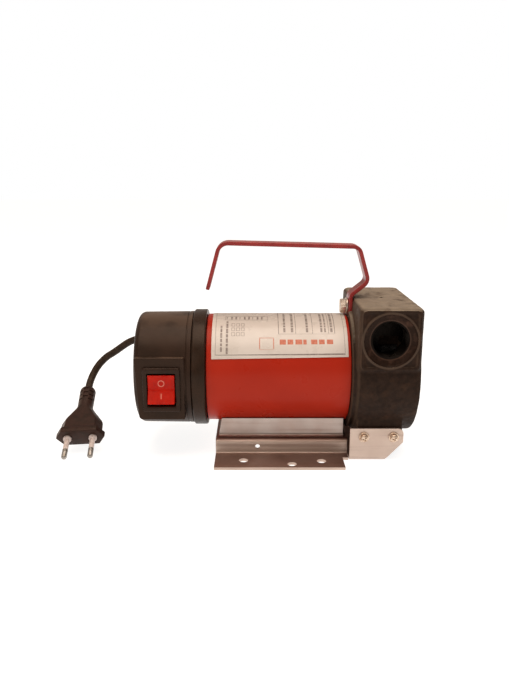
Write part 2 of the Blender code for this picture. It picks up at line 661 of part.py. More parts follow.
cut(rear_cover, rod("cord_hole", -102, -95, 4.9, centre=cord_centre, steps=16))

# ---- parts inside the switch cover
box("bridge_rectifier", (-65.0, 6, AXIS_Z - 22), (-60.0, 24, AXIS_Z - 6), FERRITE)
box("noise_capacitor", (-73.0, 8, AXIS_Z + 8), (-60.1, 22, AXIS_Z + 24), LABEL_FOIL)

# ---- rocker switch
bezel_low = (SWITCH_X - BEZEL_WIDTH / 2, PANEL_FRONT - BEZEL_PROUD, SWITCH_Z - BEZEL_HEIGHT / 2)
bezel_high = (SWITCH_X + BEZEL_WIDTH / 2, PANEL_FRONT - 0.3, SWITCH_Z + BEZEL_HEIGHT / 2)
switch_housing = box("switch_housing", bezel_low, bezel_high, BLACK_PLASTIC)
body_low = (SWITCH_X - SWITCH_HOLE_WIDTH / 2 + 0.4, -42.8, SWITCH_Z - SWITCH_HOLE_HEIGHT / 2 + 0.4)
body_high = (SWITCH_X + SWITCH_HOLE_WIDTH / 2 - 0.4, -27, SWITCH_Z + SWITCH_HOLE_HEIGHT / 2 - 0.4)
join(switch_housing, box("switch_body", body_low, body_high))
well_half_width, well_half_height = ROCKER_WIDTH / 2 + 0.3, 11.75
well_low = (SWITCH_X - well_half_width, -46, SWITCH_Z - well_half_height)
well_high = (SWITCH_X + well_half_width, -30, SWITCH_Z + well_half_height)
cut(switch_housing, box("rocker_well", well_low, well_high))

rocker_half = ROCKER_HALF_HEIGHT
rocker_outline = [
    # y from the pivot, z from the pivot, with the rocker level
    (-5.5, rocker_half),
    (-3.4, rocker_half * 0.42),
    (-2.9, 0),
    (-3.4, -rocker_half * 0.42),
    (-5.5, -rocker_half),
    (2.0, -rocker_half),
    (5.5, -5),
    (5.5, 5),
    (2.0, rocker_half),
]
pivot = Vector((SWITCH_X, ROCKER_PIVOT_Y, SWITCH_Z))
tilt = Matrix.Translation(pivot) @ Matrix.Rotation(math.radians(-ROCKER_TILT), 4, "X")
prism(
    "switch_rocker",
    rocker_outline,
    -ROCKER_WIDTH / 2,
    ROCKER_WIDTH / 2,
    SWITCH_RED,
    frame=tilt,
    origin=pivot,
)

# ---- carrying handle and its bolt
handle_outline = strip_outline(bent_line(HANDLE_CORNERS), HANDLE_THICKNESS)
carry_handle = prism(
    "carry_handle", handle_outline, -HANDLE_WIDTH / 2, HANDLE_WIDTH / 2, HANDLE_RED, axis="Y"
)
bolt_place = {"centre": Vector((0, 0, HANDLE_BOLT_Z)), "steps": 12}
cut(carry_handle, rod("handle_hole", 52, 58, 3.4, **bolt_place))
tube("handle_washer", 52.0, 53.2, 6.1, 3.4, SCREW_STEEL, **bolt_place)
handle_bolt = rod("handle_bolt", 51.0, 70.0, 3.0, SCREW_STEEL, **bolt_place)
join(handle_bolt, rod("handle_bolt_head", 47.7, 51.7, 5.6, centre=bolt_place["centre"], steps=6))

# ---- cord, its gland and the two-pin plug
gland_bore = CORD_RADIUS + 0.3
gland_outline = [
    (-84.0, gland_bore),
    (-84.0, 4.1),
    (-96.3, 5.3),
    (-98.2, 5.3),
    (-98.2, 4.6),
    (-101.1, 4.6),
    (-101.1, 5.8),
    (-102.1, 5.8),
    (-104.5, 4.5),
    (-104.5, gland_bore + 0.5),
    (-101.8, gland_bore),
]
turned("cord_gland", gland_outline, RUBBER, centre=cord_centre, steps=16)

cord_curve = bpy.data.curves.new("power_cord", "CURVE")
cord_curve.dimensions = "3D"
cord_curve.bevel_depth = CORD_RADIUS * MM
cord_curve.bevel_resolution = 2
cord_curve.use_fill_caps = True
cord_line = cord_curve.splines.new("POLY")
cord_line.points.add(len(CORD_ROUTE) - 1)
for point, place in zip(cord_line.points, CORD_ROUTE):
    point.co = (*(Vector(place) * MM), 1.0)
cord_curve.materials.append(RUBBER)
power_cord = bpy.data.objects.new("power_cord", cord_curve)
bpy.context.scene.collection.objects.link(power_cord)

plug_wide = Vector((-PLUG_DIRECTION.y, PLUG_DIRECTION.x, 0)).normalized()
plug_up = PLUG_DIRECTION.cross(plug_wide)
plug_axes = Matrix((PLUG_DIRECTION, plug_wide, plug_up)).transposed().to_4x4()
plug_roll = Matrix.Rotation(math.radians(PLUG_ROLL), 4, "X")
plug_frame = Matrix.Translation(PLUG_TAIL) @ plug_axes @ plug_roll


def plug_section(along, half_width, half_height, flat_share):
    """Twelve points: a circle when flat_share is 0.5, a flattened hexagon when it is near 0.7."""
    roundness = 1.155 - (flat_share - 0.5) * 0.62
    middle_width = half_width * (1 + flat_share) / 2 * roundness
    middle_height = half_height / 2 * roundness
    edge_height = half_height * min(1, 0.866 + (flat_share - 0.5) * 1.5)
    quarter = [(half_width, 0), (middle_width, middle_height), (half_width * flat_share, edge_height)]
    half = quarter + [(0, half_height)] + [(-a, b) for a, b in reversed(quarter)]
    ring = half + [(a, -b) for a, b in reversed(half[1:-1])]
    return [(along, a, b) for a, b in ring]


plug_body = loft(
    "plug_body",
    [
        plug_section(0, 4.0, 4.0, 0.5),
        plug_section(1.2, 5.4, 5.4, 0.5),
        plug_section(2.8, 6.2, 6.0, 0.5),
        plug_section(17.7, 6.2, 5.8, 0.52),
        plug_section(22.0, 6.8, 5.9, 0.56),
        plug_section(34.4, 15.0, 6.8, 0.68),
        plug_section(43.4, 15.8, 7.2, 0.72),
        plug_section(44.5, 18.0, 8.0, 0.72),
        plug_section(PLUG_FACE, 18.0, 8.0, 0.72),
    ],
    BLACK_PLASTIC,
    frame=plug_frame,
    origin=PLUG_TAIL,
)
cord_socket = rod(
    "cord_socket", -1, 5.6, CORD_RADIUS + 0.3, frame=plug_frame, centre=Vector((0, 0, 0)), steps=12
)
cut(plug_body, cord_socket)
for index, sign in enumerate((-1, 1)):
    place = {
        "frame": plug_frame,
        "origin": PLUG_TAIL,
        "centre": Vector((0, sign * PIN_PITCH / 2, 0)),
        "steps": 12,
    }
    cut(plug_body, rod(f"pin_hole_{index + 1}", PLUG_FACE - 8, PLUG_FACE + 1, 2.3, **place))
    pin_outline = [
        # along from the plug's face, radius
        (-7.5, 0),
        (-7.5, 1.95),
        (0.3, 1.95),
        (0.3, 3.0),
        (1.9, 3.0),
        (2.1, 1.9),
        (10.8, 1.9),
        (10.9, 2.0),
        (17.8, 2.0),
        (18.8, 1.2),
        (19.0, 0),
    ]
    pin_outline = [(PLUG_FACE + along, radius) for along, radius in pin_outline]
    turned(f"plug_pin_{index + 1}", pin_outline, PIN_METAL, **place)
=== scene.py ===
import math

import bmesh
import bpy
from mathutils import Matrix, Vector


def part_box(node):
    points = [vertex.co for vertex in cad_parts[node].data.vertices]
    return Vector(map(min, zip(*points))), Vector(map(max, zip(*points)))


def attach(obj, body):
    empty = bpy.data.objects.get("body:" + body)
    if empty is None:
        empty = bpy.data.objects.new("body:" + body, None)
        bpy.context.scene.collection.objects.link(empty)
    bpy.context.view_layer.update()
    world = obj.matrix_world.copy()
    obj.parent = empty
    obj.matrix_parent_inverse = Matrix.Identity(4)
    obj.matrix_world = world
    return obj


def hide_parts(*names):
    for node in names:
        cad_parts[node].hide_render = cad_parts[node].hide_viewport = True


# Looks of the electric fluid transfer pump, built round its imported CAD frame.
# Lengths are in millimetres and turned into metres where a mesh is made, in the CAD's own frame: the floor
# is Z = 0, the motor axis runs along X, the pump head is at +X, the switch cover at -X, the front is -Y.

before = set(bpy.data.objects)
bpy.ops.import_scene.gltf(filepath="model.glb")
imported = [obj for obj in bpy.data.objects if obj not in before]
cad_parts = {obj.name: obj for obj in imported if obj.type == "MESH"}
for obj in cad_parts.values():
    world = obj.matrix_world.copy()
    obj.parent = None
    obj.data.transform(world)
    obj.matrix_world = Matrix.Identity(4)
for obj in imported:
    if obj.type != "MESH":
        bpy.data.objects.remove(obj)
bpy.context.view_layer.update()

MM = 0.001
ROOT, ROCKER = "pump", "rocker"


def extent(node):
    """The lowest and highest corners of a CAD node, in millimetres."""
    low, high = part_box(node)
    return low / MM, high / MM


def middle(node):
    low, high = extent(node)
    return (low + high) / 2


def line_along(node):
    """A point of the line along X through a node's middle."""
    spot = middle(node)
    return Vector((0, spot.y, spot.z))


def line_across(node):
    """A point of the line along Y through a node's middle."""
    spot = middle(node)
    return Vector((spot.x, 0, spot.z))


tube_low, tube_high = extent("motor_housing")
rim_low, rim_high = extent("end_bracket")
cover_low, cover_high = extent("rear_cover")
head_low, head_high = extent("pump_head")
plate_low, plate_high = extent("base_plate")
bezel_low, bezel_high = extent("switch_housing")
label_low, label_high = extent("rating_label")
saddle_low, saddle_high = extent("motor_saddle")

AXIS_Z = (tube_low.z + tube_high.z) / 2
AXIS = Vector((0, 0, AXIS_Z))
TUBE_RADIUS = (tube_high.y - tube_low.y) / 2
RIM_RADIUS = (rim_high.y - rim_low.y) / 2
COVER_RADIUS = cover_high.y
SWITCH = Vector(((bezel_low.x + bezel_high.x) / 2, bezel_low.y, (bezel_low.z + bezel_high.z) / 2))
PORT, PORT_RADIUS = Vector((77.4, 0, 90.5)), 12.05  # both ports share one axis along Y
HANDLE_BOLT = Vector((0, 0, middle("handle_washer").z))
FOUR = range(1, 5)  # numbers of the screws that come in fours


def new_object(name, data):
    made = bpy.data.objects.new(name, data)
    bpy.context.scene.collection.objects.link(made)
    return made


# ---- camera, where the photograph was taken from
camera_data = bpy.data.cameras.new("camera")
camera_data.lens = 34.944
camera_data.sensor_width = 36.0
camera_data.shift_y = 0.00787
camera_data.clip_start = 0.01
camera_data.clip_end = 20.0
camera = new_object("camera", camera_data)
camera.location = (-0.01535, -0.4958, 0.1981)
camera.rotation_euler = (math.radians(75.33), 0, 0)
bpy.context.scene.camera = camera


# ---- materials
def tint(red, green, blue):
    """A colour given as it shows on a screen, 0 to 255, as linear light."""
    shares = [value / 255 for value in (red, green, blue)]
    linear = [s / 12.92 if s <= 0.04045 else ((s + 0.055) / 1.055) ** 2.4 for s in shares]
    return (*linear, 1.0)


MIX_SHARE, MIX_FIRST, MIX_SECOND, MIX_RESULT = 0, 6, 7, 2  # sockets of a Mix node that mixes colours


def add_node(tree, kind, inputs, output=0, **settings):
    """Adds a node, its inputs linked to sockets or set to values, and returns one of its outputs."""
    made = tree.nodes.new("ShaderNode" + kind)
    for key, value in settings.items():
        setattr(made, key, value)
    for key, value in inputs.items():
        if isinstance(value, bpy.types.NodeSocket):
            tree.links.new(value, made.inputs[key])
        else:
            made.inputs[key].default_value = value
    return made.outputs[output] if made.outputs else None


class Look:
    """A node material. Each method adds a layer of detail and returns the look again."""

    def __init__(self, name, colour, roughness, metallic=0.0):
        self.material = bpy.data.materials.new(name)
        self.material.use_nodes = True
        self.tree = self.material.node_tree
        self.shader = self.tree.nodes["Principled BSDF"]
        self.place = self.node("TexCoord", {}, "Object")
        self.colour = colour
        self.shader.inputs["Base Color"].default_value = colour
        self.shader.inputs["Roughness"].default_value = roughness
        self.shader.inputs["Metallic"].default_value = metallic
        self.bumped = None

    def node(self, kind, inputs, output=0, **settings):
        return add_node(self.tree, kind, inputs, output, **settings)

    def feed(self, socket, name):
        self.tree.links.new(socket, self.shader.inputs[name])

    def pattern(self, size, detail=4.0, stretch=(1, 1, 1), cells=False):
        """A 0 to 1 pattern whose features are size millimetres across."""
        where = self.node("Mapping", {"Vector": self.place, "Scale": stretch})
        inputs = {"Vector": where, "Scale": 1 / (size * MM)}
        if cells:
            return self.node("TexVoronoi", inputs, "Color")
        return self.node("TexNoise", inputs | {"Detail": detail}, "Fac")

    def ranged(self, value, low, high, start=0.0, end=1.0):
        inputs = {"Value": value, "From Min": low, "From Max": high, "To Min": start, "To Max": end}
        return self.node("MapRange", inputs)

    def blend_colour(self, share, other):
        """Mixes another colour in, by a share that varies over the surface."""
        inputs = {MIX_SHARE: share, MIX_FIRST: self.colour, MIX_SECOND: other}
        self.colour = self.node("Mix", inputs, MIX_RESULT, data_type="RGBA")
        self.feed(self.colour, "Base Color")
        return self

    def mottle(self, other, size, low=0.4, high=0.65, stretch=(1, 1, 1)):
        return self.blend_colour(self.ranged(self.pattern(size, stretch=stretch), low, high), other)

    def gloss(self, start, end, size, stretch=(1, 1, 1)):
        """A roughness that varies between two values."""
        share = self.ranged(self.pattern(size, stretch=stretch), 0.3, 0.7, start, end)
        self.feed(share, "Roughness")
        return self

    def relief(self, depth, size, stretch=(1, 1, 1)):
        """Raises the surface by a pattern, depth millimetres deep."""
        inputs = {"Height": self.pattern(size, 3.0, stretch), "Distance": depth * MM, "Strength": 1.0}
        if self.bumped:
            inputs["Normal"] = self.bumped
        self.bumped = self.node("Bump", inputs)
        self.feed(self.bumped, "Normal")
        return self

    def dust_and_painted_light(self, colour, share, size=6.0, start=0.55, end=0.97, axis="Z"):
        """A colour in patches on what faces along an axis, upwards unless told otherwise: dust on the
        casting's top, and painted light, painted highlight and painted reflection on other looks.
        """
        normal = self.node("NewGeometry", {}, "Normal")
        facing = self.ranged(self.node("SeparateXYZ", {"Vector": normal}, axis), start, end)
        patchy = self.ranged(self.pattern(size, 8.0), 0.2, 0.8, 0.6, 1.0)
        both = self.node("Math", {0: facing, 1: patchy}, operation="MULTIPLY")
        return self.blend_colour(self.ranged(both, 0.0, 1.0, 0.0, share), colour)

    def port_reach(self):
        """The distance from the axis of the ports, in millimetres."""
        offset = self.node("VectorMath", {0: self.place, 1: PORT * MM}, operation="SUBTRACT")
        across = self.node("VectorMath", {0: offset, 1: (1 / MM, 0, 1 / MM)}, operation="MULTIPLY")
        return self.node("VectorMath", {0: across}, "Value", operation="LENGTH")

    def ring_line(self, radius, width, colour, share):
        """A line of another colour round the axis of the ports, width millimetres wide."""
        offset = self.node("Math", {0: self.port_reach(), 1: radius}, operation="SUBTRACT")
        apart = self.node("Math", {0: offset}, operation="ABSOLUTE")
        return self.blend_colour(self.ranged(apart, width / 2, width, share, 0.0), colour)

    def worn_edges(self, colour, share):
        """Another colour along outer edges, where the pointiness is above a half."""
        point = self.node("NewGeometry", {}, "Pointiness")
        return self.blend_colour(self.ranged(point, 0.52, 0.6, 0.0, share), colour)

    def shine(self, values):
        for key, value in values.items():
            self.shader.inputs[key].default_value = value
        return self


WARM_SHEEN = (1.0, 0.8, 0.66, 1.0)
DULL = {"Specular IOR Level": 0.16, "Specular Tint": WARM_SHEEN}
SATIN = {"Specular IOR Level": 0.3}
DARK_INSIDE = {"Specular IOR Level": 0.07, "Specular Tint": WARM_SHEEN}
ROLLED, BRUSHED, LATHED = (0.03, 1, 1), (0.12, 1, 1), (8, 1, 1)  # patterns drawn out along X, or squeezed

# painted and cast metal
red_enamel = Look("red_enamel", tint(174, 42, 24), 0.3).shine(DULL)
red_enamel.mottle(tint(164, 38, 22), 34, 0.3, 0.8).relief(0.003, 9.0).gloss(0.26, 0.36, 14)
handle_enamel = Look("handle_enamel", tint(152, 46, 42), 0.3).shine(SATIN)
handle_enamel.mottle(tint(134, 36, 34), 14).relief(0.02, 1.2).gloss(0.24, 0.4, 6)
cast_paint = Look("cast_paint", tint(42, 28, 21), 0.5).shine(DULL)
cast_paint.mottle(tint(31, 20, 15), 4).worn_edges(tint(98, 80, 64), share=0.6)
cast_paint.dust_and_painted_light(tint(156, 142, 124), 0.82).mottle(tint(60, 40, 28), 9, 0.55, 0.8)
cast_paint.ring_line(19.2, 1.0, tint(92, 76, 64), 0.5).ring_line(16.2, 2.6, tint(70, 54, 44), 0.4)
# painted light: faces of the casting towards -X are lighter, as if lit from the left
cast_paint.dust_and_painted_light(tint(112, 92, 76), 0.36, 8, -0.15, -0.9, "X")
cast_paint.gloss(0.5, 0.7, 3).relief(0.25, 2.2).relief(0.12, 0.7)
port_oil_and_shade = Look("port_oil_and_shade", tint(40, 27, 21), 0.3).shine(DARK_INSIDE)
port_oil_and_shade.mottle(tint(74, 52, 42), 5, 0.5, 0.8).ring_line(13.9, 0.5, tint(84, 64, 54), 0.5)
# painted shade: near black inside the bore and thread, within 13 mm of the ports' axis and fading out by
# 13.7 mm
port_oil_and_shade.blend_colour(port_oil_and_shade.ranged(port_oil_and_shade.port_reach(), 13.0, 13.7, 1.0, 0.0), tint(8, 6, 5))
port_oil_and_shade.gloss(0.18, 0.4, 2).relief(0.12, 1.0)
machined_black = Look("machined_black", tint(44, 33, 28), 0.45).shine(SATIN)
machined_black.mottle(tint(74, 60, 52), 5).gloss(0.35, 0.55, 2).relief(0.05, 0.8)
bracket_black = Look("bracket_black", tint(46, 31, 22), 0.34).shine(DULL)
bracket_black.mottle(tint(38, 27, 20), 10).gloss(0.24, 0.38, 4).relief(0.02, 0.9)

# moulded plastic and rubber
cover_plastic = Look("cover_plastic", tint(48, 33, 25), 0.36).shine(DULL)
# painted highlight: the cover's upward faces are lighter brown
cover_plastic.dust_and_painted_light(tint(150, 124, 104), 0.3, 60, 0.8, 1.0).mottle(tint(41, 29, 22), 18)
cover_plastic.gloss(0.32, 0.42, 5).relief(0.015, 0.5)
rocker_plastic = Look("rocker_plastic", tint(186, 24, 9), 0.26).shine(DULL)
rocker_plastic.mottle(tint(170, 18, 7), 8).gloss(0.18, 0.28, 3).relief(0.01, 0.6)
rocker_plastic.shine({"Subsurface Weight": 0.25, "Subsurface Scale": 0.002})
bezel_plastic = Look("bezel_plastic", tint(48, 33, 26), 0.3).shine(DULL)
bezel_plastic.mottle(tint(40, 28, 22), 6).gloss(0.2, 0.32, 3).relief(0.01, 0.5)
cord_rubber = Look("cord_rubber", tint(56, 44, 34), 0.45).shine(DULL)
cord_rubber.mottle(tint(44, 34, 27), 3).gloss(0.38, 0.58, 1.5).relief(0.03, 0.5)
plug_plastic = Look("plug_plastic", tint(52, 33, 28), 0.42).shine(DULL)
# painted light: the plug's faces towards -X are lighter, as if lit from the left
plug_plastic.dust_and_painted_light(tint(124, 110, 98), 0.6, 30, -0.2, -0.8, "X").mottle(tint(42, 29, 24), 5)
plug_plastic.gloss(0.34, 0.5, 2).relief(0.02, 0.5)
sleeve_plastic = Look("sleeve_plastic", tint(216, 202, 196), 0.45)
sleeve_plastic.mottle(tint(200, 182, 174), 2).relief(0.01, 0.4)

# bare metal
galvanised = Look("galvanised", tint(172, 158, 150), 0.34, 1.0)
spangle = galvanised.pattern(6.0, cells=True)
galvanised.blend_colour(galvanised.ranged(spangle, 0.0, 1.0, 0.0, 0.25), tint(168, 154, 146))
galvanised.mottle(tint(158, 134, 122), 22, 0.45, 0.9).gloss(0.26, 0.36, 12)
galvanised.mottle(tint(128, 102, 90), 5, 0.5, 0.85, ROLLED)
galvanised.relief(0.004, 0.6, BRUSHED).relief(0.01, 9.0)
base_zinc = Look("base_zinc", tint(212, 192, 178), 0.4, 0.5)
# painted reflection: the base plate's upward faces are dark reddish brown, for the red tube and web
# mirrored in them
base_zinc.mottle(tint(190, 168, 154), 26, 0.35, 0.8).dust_and_painted_light(tint(88, 54, 44), 1.0, 40)
base_zinc.mottle(tint(138, 110, 96), 5, 0.48, 0.8, ROLLED).gloss(0.34, 0.46, 12)
base_zinc.relief(0.004, 0.6, BRUSHED).relief(0.01, 9.0)
screw_plate = Look("screw_plate", tint(228, 208, 188), 0.34, 0.85)
screw_plate.mottle(tint(192, 162, 136), 1.6).gloss(0.22, 0.42, 1.0).relief(0.02, 0.3)
bolt_steel = Look("bolt_steel", tint(238, 226, 212), 0.34, 0.85)
bolt_steel.mottle(tint(204, 184, 166), 2.2).gloss(0.24, 0.45, 1.2).relief(0.02, 0.4)
bright_steel = Look("bright_steel_turned", tint(182, 182, 184), 0.25, 1.0)
bright_steel.mottle(tint(140, 138, 136), 5).gloss(0.18, 0.38, 1.0, LATHED).relief(0.01, 0.2, LATHED)
prong_metal = Look("prong_metal", tint(172, 168, 164), 0.42, 0.8)
prong_metal.mottle(tint(146, 138, 126), 2).gloss(0.34, 0.5, 0.8)

# label and print
label_film = Look("label_film", tint(212, 203, 194), 0.3)
label_film.mottle(tint(204, 195, 185), 22).gloss(0.24, 0.36, 8).relief(0.004, 3.0)
print_grey = Look("print_grey", tint(126, 114, 108), 0.45)
print_grey.mottle(tint(158, 146, 138), 1.5)
print_red = Look("print_red", tint(188, 98, 70), 0.45)
print_red.mottle(tint(206, 122, 92), 1.5)
rocker_mark = Look("rocker_mark", tint(222, 130, 110), 0.4)
rocker_mark.mottle(tint(205, 104, 86), 0.8)

# works inside the housings
magnet_ceramic = Look("magnet_ceramic", tint(58, 58, 62), 0.6)
magnet_ceramic.mottle(tint(44, 44, 48), 2).relief(0.06, 0.6)
carbon_block = Look("carbon_block", tint(36, 36, 38), 0.5)
carbon_block.mottle(tint(56, 56, 58), 0.5).relief(0.03, 0.2)
copper_wire = Look("copper_wire", tint(190, 112, 70), 0.35, 0.9)
copper_wire.mottle(tint(150, 72, 44), 1.0, stretch=(0.2, 1, 1)).relief(0.25, 0.7, (0.06, 1, 1))
brass_sheet = Look("brass_sheet", tint(206, 170, 96), 0.3, 0.95)
brass_sheet.mottle(tint(170, 134, 70), 3).gloss(0.22, 0.42, 1.5)
resin_board = Look("resin_board", tint(122, 86, 50), 0.5)
resin_board.mottle(tint(96, 64, 38), 1.2, stretch=(1, 0.2, 1)).relief(0.04, 0.4)
capacitor_case = Look("capacitor_case", tint(206, 178, 84), 0.3)
capacitor_case.mottle(tint(190, 160, 70), 4).relief(0.02, 0.6)


# ---- mesh tools
X, Y, Z = Matrix.Identity(3)
AXES = {"X": (X, Y, Z), "Y": (Y, X, Z), "Z": (Z, X, Y)}  # along, across and up
SMOOTH_BELOW = 34  # degrees between facets that shade as one surface
TOOL_TURN = 0.31  # share of a facet by which a cutting tool is turned, so that edges never coincide


def shade(target, angle=SMOOTH_BELOW):
    target.data.shade_smooth()
    target.data.set_sharp_from_angle(angle=math.radians(angle))


def solid(name, points, faces, look=None, placing=None):
    """A closed mesh from points in millimetres."""
    placing = placing or Matrix.Identity(4)
    shape = bmesh.new()
    corners = [shape.verts.new((placing @ Vector(point)) * MM) for point in points]
    for face in faces:
        shape.faces.new([corners[index] for index in face])
    bmesh.ops.recalc_face_normals(shape, faces=shape.faces)
    mesh = bpy.data.meshes.new(name)
    shape.to_mesh(mesh)
    shape.free()
    made = new_object(name, mesh)
    if look:
        mesh.materials.append(look.material)
    shade(made)
    return made


def lofted(rings, closed=False):
    """Points and faces through rings of equal point counts, with end caps or closed on themselves."""
    count = len(rings[0])
    points = [point for ring in rings for point in ring]
    faces = []
    if not closed:
        faces = [list(range(count)), list(range(len(points) - count, len(points)))]
    for ring in range(len(rings) if closed else len(rings) - 1):
        start = ring * count
        following = (ring + 1) % len(rings) * count
        for index in range(count):
            after = (index + 1) % count
            faces.append([start + index, start + after, following + after, following + index])
    return points, faces


def loft(name, rings, look=None, placing=None, closed=False):
    return solid(name, *lofted(rings, closed), look, placing)


def ring_points(along, radius, axis, centre, steps, phase=0.0):
    along_axis, across, up = AXES[axis]
    points = []
    for step in range(steps):
        angle = 2 * math.pi * (step + phase) / steps
        offset = across * math.cos(angle) + up * math.sin(angle)
        points.append(centre + along_axis * along + offset * radius)
    return points


def turned(name, outline, look=None, axis="X", centre=AXIS, steps=96, placing=None, closed=False):
    """A solid turned about an axis through centre. The outline holds (along, radius) pairs."""
    phase = 0 if look else TOOL_TURN
    rings = []
    for along, radius in outline:
        rings.append(ring_points(along, max(radius, 0.01), axis, centre, steps, phase))
    return loft(name, rings, look, placing, closed)


def rod(name, start, end, radius, look=None, **options):
    return turned(name, [(start, radius), (end, radius)], look, **options)


def prism(name, outline, start, end, look=None, axis="X", placing=None):
    """A straight solid along an axis. The outline holds the other two coordinates, in X, Y, Z order."""
    along_axis, across, up = AXES[axis]
    rings = [[along_axis * level + across * a + up * b for a, b in outline] for level in (start, end)]
    return loft(name, rings, look, placing)


def box(name, low, high, look=None, placing=None):
    outline = [(low[1], low[2]), (high[1], low[2]), (high[1], high[2]), (low[1], high[2])]
    return prism(name, outline, low[0], high[0], look, placing=placing)


def arc(centre, radius, first, last, steps):
    """Points from angle first to angle last, in degrees."""
    points = []
    for step in range(steps + 1):
        angle = math.radians(first + (last - first) * step / steps)
        points.append((centre[0] + radius * math.cos(angle), centre[1] + radius * math.sin(angle)))
    return points


def rounded_outline(corners, steps=6):
    """A closed outline whose corners, given as (a, b, radius), are rounded."""
    outline = []
    for index, (a, b, radius) in enumerate(corners):
        here = Vector((a, b))
        if radius == 0:
            outline.append((a, b))
            continue
        before = (Vector(corners[index - 1][:2]) - here).normalized()
        after = (Vector(corners[(index + 1) % len(corners)][:2]) - here).normalized()
        half = before.angle(after) / 2
        hub = here + (before + after).normalized() * radius / math.sin(half)
        start = here + before * radius / math.tan(half) - hub
        turn = (here + after * radius / math.tan(half) - hub).angle_signed(start)
        for step in range(steps + 1):
            outline.append(tuple(hub + Matrix.Rotation(turn * step / steps, 2) @ start))
    return outline


def rounded_rectangle(left, right, low, high, radius, steps=6):
    corners = [(left, low), (right, low), (right, high), (left, high)]
    return rounded_outline([(a, b, radius) for a, b in corners], steps)


def mirrored(half):
    """The corners of a symmetric outline, from those on its left."""
    return half + [(-a, b, radius) for a, b, radius in reversed(half)]


def strip_outline(corners, thickness):
    """The closed outline of a strip of even thickness. Its bends are given as (a, b, radius)."""
    line = [Vector(point) for point in rounded_outline(corners, 8)]
    sides = []
    for index, point in enumerate(line):
        direction = line[min(index + 1, len(line) - 1)] - line[max(index - 1, 0)]
        normal = Vector((-direction.y, direction.x)).normalized() * thickness / 2
        sides.append((point + normal, point - normal))
    return [tuple(side[0]) for side in sides] + [tuple(side[1]) for side in reversed(sides)]


def apply_modifiers(target):
    graph = bpy.context.evaluated_depsgraph_get()
    finished = bpy.data.meshes.new_from_object(target.evaluated_get(graph))
    target.modifiers.clear()
    target.data = finished


def settle(target, angle=SMOOTH_BELOW):
    """Applies the target's modifiers and shades it anew."""
    apply_modifiers(target)
    shade(target, angle)


def combine(target, tools, operation):
    """Changes the target by a boolean with the tools, which are used up."""
    group = bpy.data.collections.new("tools")
    bpy.context.scene.collection.children.link(group)
    for tool in tools:
        group.objects.link(tool)
    modifier = target.modifiers.new("tools", "BOOLEAN")
    modifier.operation = operation
    modifier.solver = "EXACT"
    modifier.operand_type = "COLLECTION"
    modifier.collection = group
    modifier.material_mode = "TRANSFER"
    settle(target)
    for tool in tools:
        bpy.data.objects.remove(tool)
    bpy.data.collections.remove(group)


def cut(target, *tools):
    combine(target, tools, "DIFFERENCE")


def join(target, *pieces):
    combine(target, pieces, "UNION")


def shade_evenly(target):
    """Keeps flat faces flat where they run smoothly into rounded ones."""
    target.modifiers.new("even shading", "WEIGHTED_NORMAL").keep_sharp = True
    apply_modifiers(target)


def soften(target, width, segments, limit=40, weighted=True):
    """Rounds the edges that are sharper than limit degrees."""
    modifier = target.modifiers.new("edge rounding", "BEVEL")
    modifier.width = width * MM
    modifier.segments = segments
    modifier.limit_method = "ANGLE"
    modifier.angle_limit = math.radians(limit)
    modifier.use_clamp_overlap = True
    settle(target, 60 if segments > 1 else SMOOTH_BELOW)
    if weighted:
        shade_evenly(target)


def place(target, slot, *nodes, body=ROOT):
    """The piece rides on its body and stands for CAD nodes, which are hidden. The slot is not used."""
    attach(target, body)
    if nodes:
        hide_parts(*nodes)


# ---- mains cord
CORD_ROUTE = [
    (-86.5, 27.0, 75.1),
    (-94.5, 27.0, 75.1),
    (-101.8, 27.0, 75.1),
    (-107.0, 27.3, 74.5),
    (-112.0, 28.1, 72.9),
    (-116.6, 29.2, 70.5),
    (-120.8, 30.3, 67.6),
    (-125.0, 31.4, 64.5),
    (-129.3, 32.2, 61.5),
    (-133.7, 32.5, 58.7),
    (-137.7, 32.0, 55.2),
    (-141.1, 30.6, 51.4),
    (-143.6, 28.3, 47.4),
    (-145.3, 25.0, 43.6),
    (-146.2, 21.1, 40.2),
    (-146.3, 16.7, 37.3),
    (-146.2, 14.6, 36.2),
    (-145.9, 10.2, 33.8),
]
CORD_RADIUS, CORD_LENGTH = 2.8, 91
cord_curve = bpy.data.curves.new("mains_cord", "CURVE")
cord_curve.dimensions = "3D"
cord_curve.bevel_depth = CORD_RADIUS * MM
cord_curve.bevel_resolution = 8
cord_curve.resolution_u = 8
cord_curve.use_fill_caps = True
cord_line = cord_curve.splines.new("BEZIER")
cord_line.bezier_points.add(len(CORD_ROUTE) - 1)
for point, spot in zip(cord_line.bezier_points, CORD_ROUTE):
    point.co = Vector(spot) * MM
    point.handle_left_type = "AUTO"
    point.handle_right_type = "AUTO"
cord_curve.materials.append(cord_rubber.material)
mains_cord = new_object("mains_cord", cord_curve)
place(mains_cord, "rubber", "power_cord")

# ---- strain relief: a flange and a tapered, ribbed sleeve
cord_exit = Vector((0, CORD_ROUTE[0][1], CORD_ROUTE[0][2]))
relief_outline = [(-84.0, 3.0), (-84.0, 3.8), (-84.5, 4.1), (-96.1, 5.2), (-98.1, 5.2), (-98.3, 4.5)]
relief_outline += [(-101.0, 4.5), (-101.1, 5.6), (-101.3, 5.8), (-101.8, 5.8), (-102.1, 5.5)]
relief_outline += [(-102.2, 4.4), (-102.6, 4.4), (-102.8, 4.9), (-103.2, 4.8), (-103.4, 4.0)]
relief_outline += [(-103.7, 4.0), (-103.9, 4.4), (-104.3, 4.3), (-104.5, 4.0), (-104.5, 3.2), (-102.0, 3.0)]
cord_relief = turned("cord_relief", relief_outline, cord_rubber, centre=cord_exit, steps=48, closed=True)
place(cord_relief, "rubber", "cord_gland")

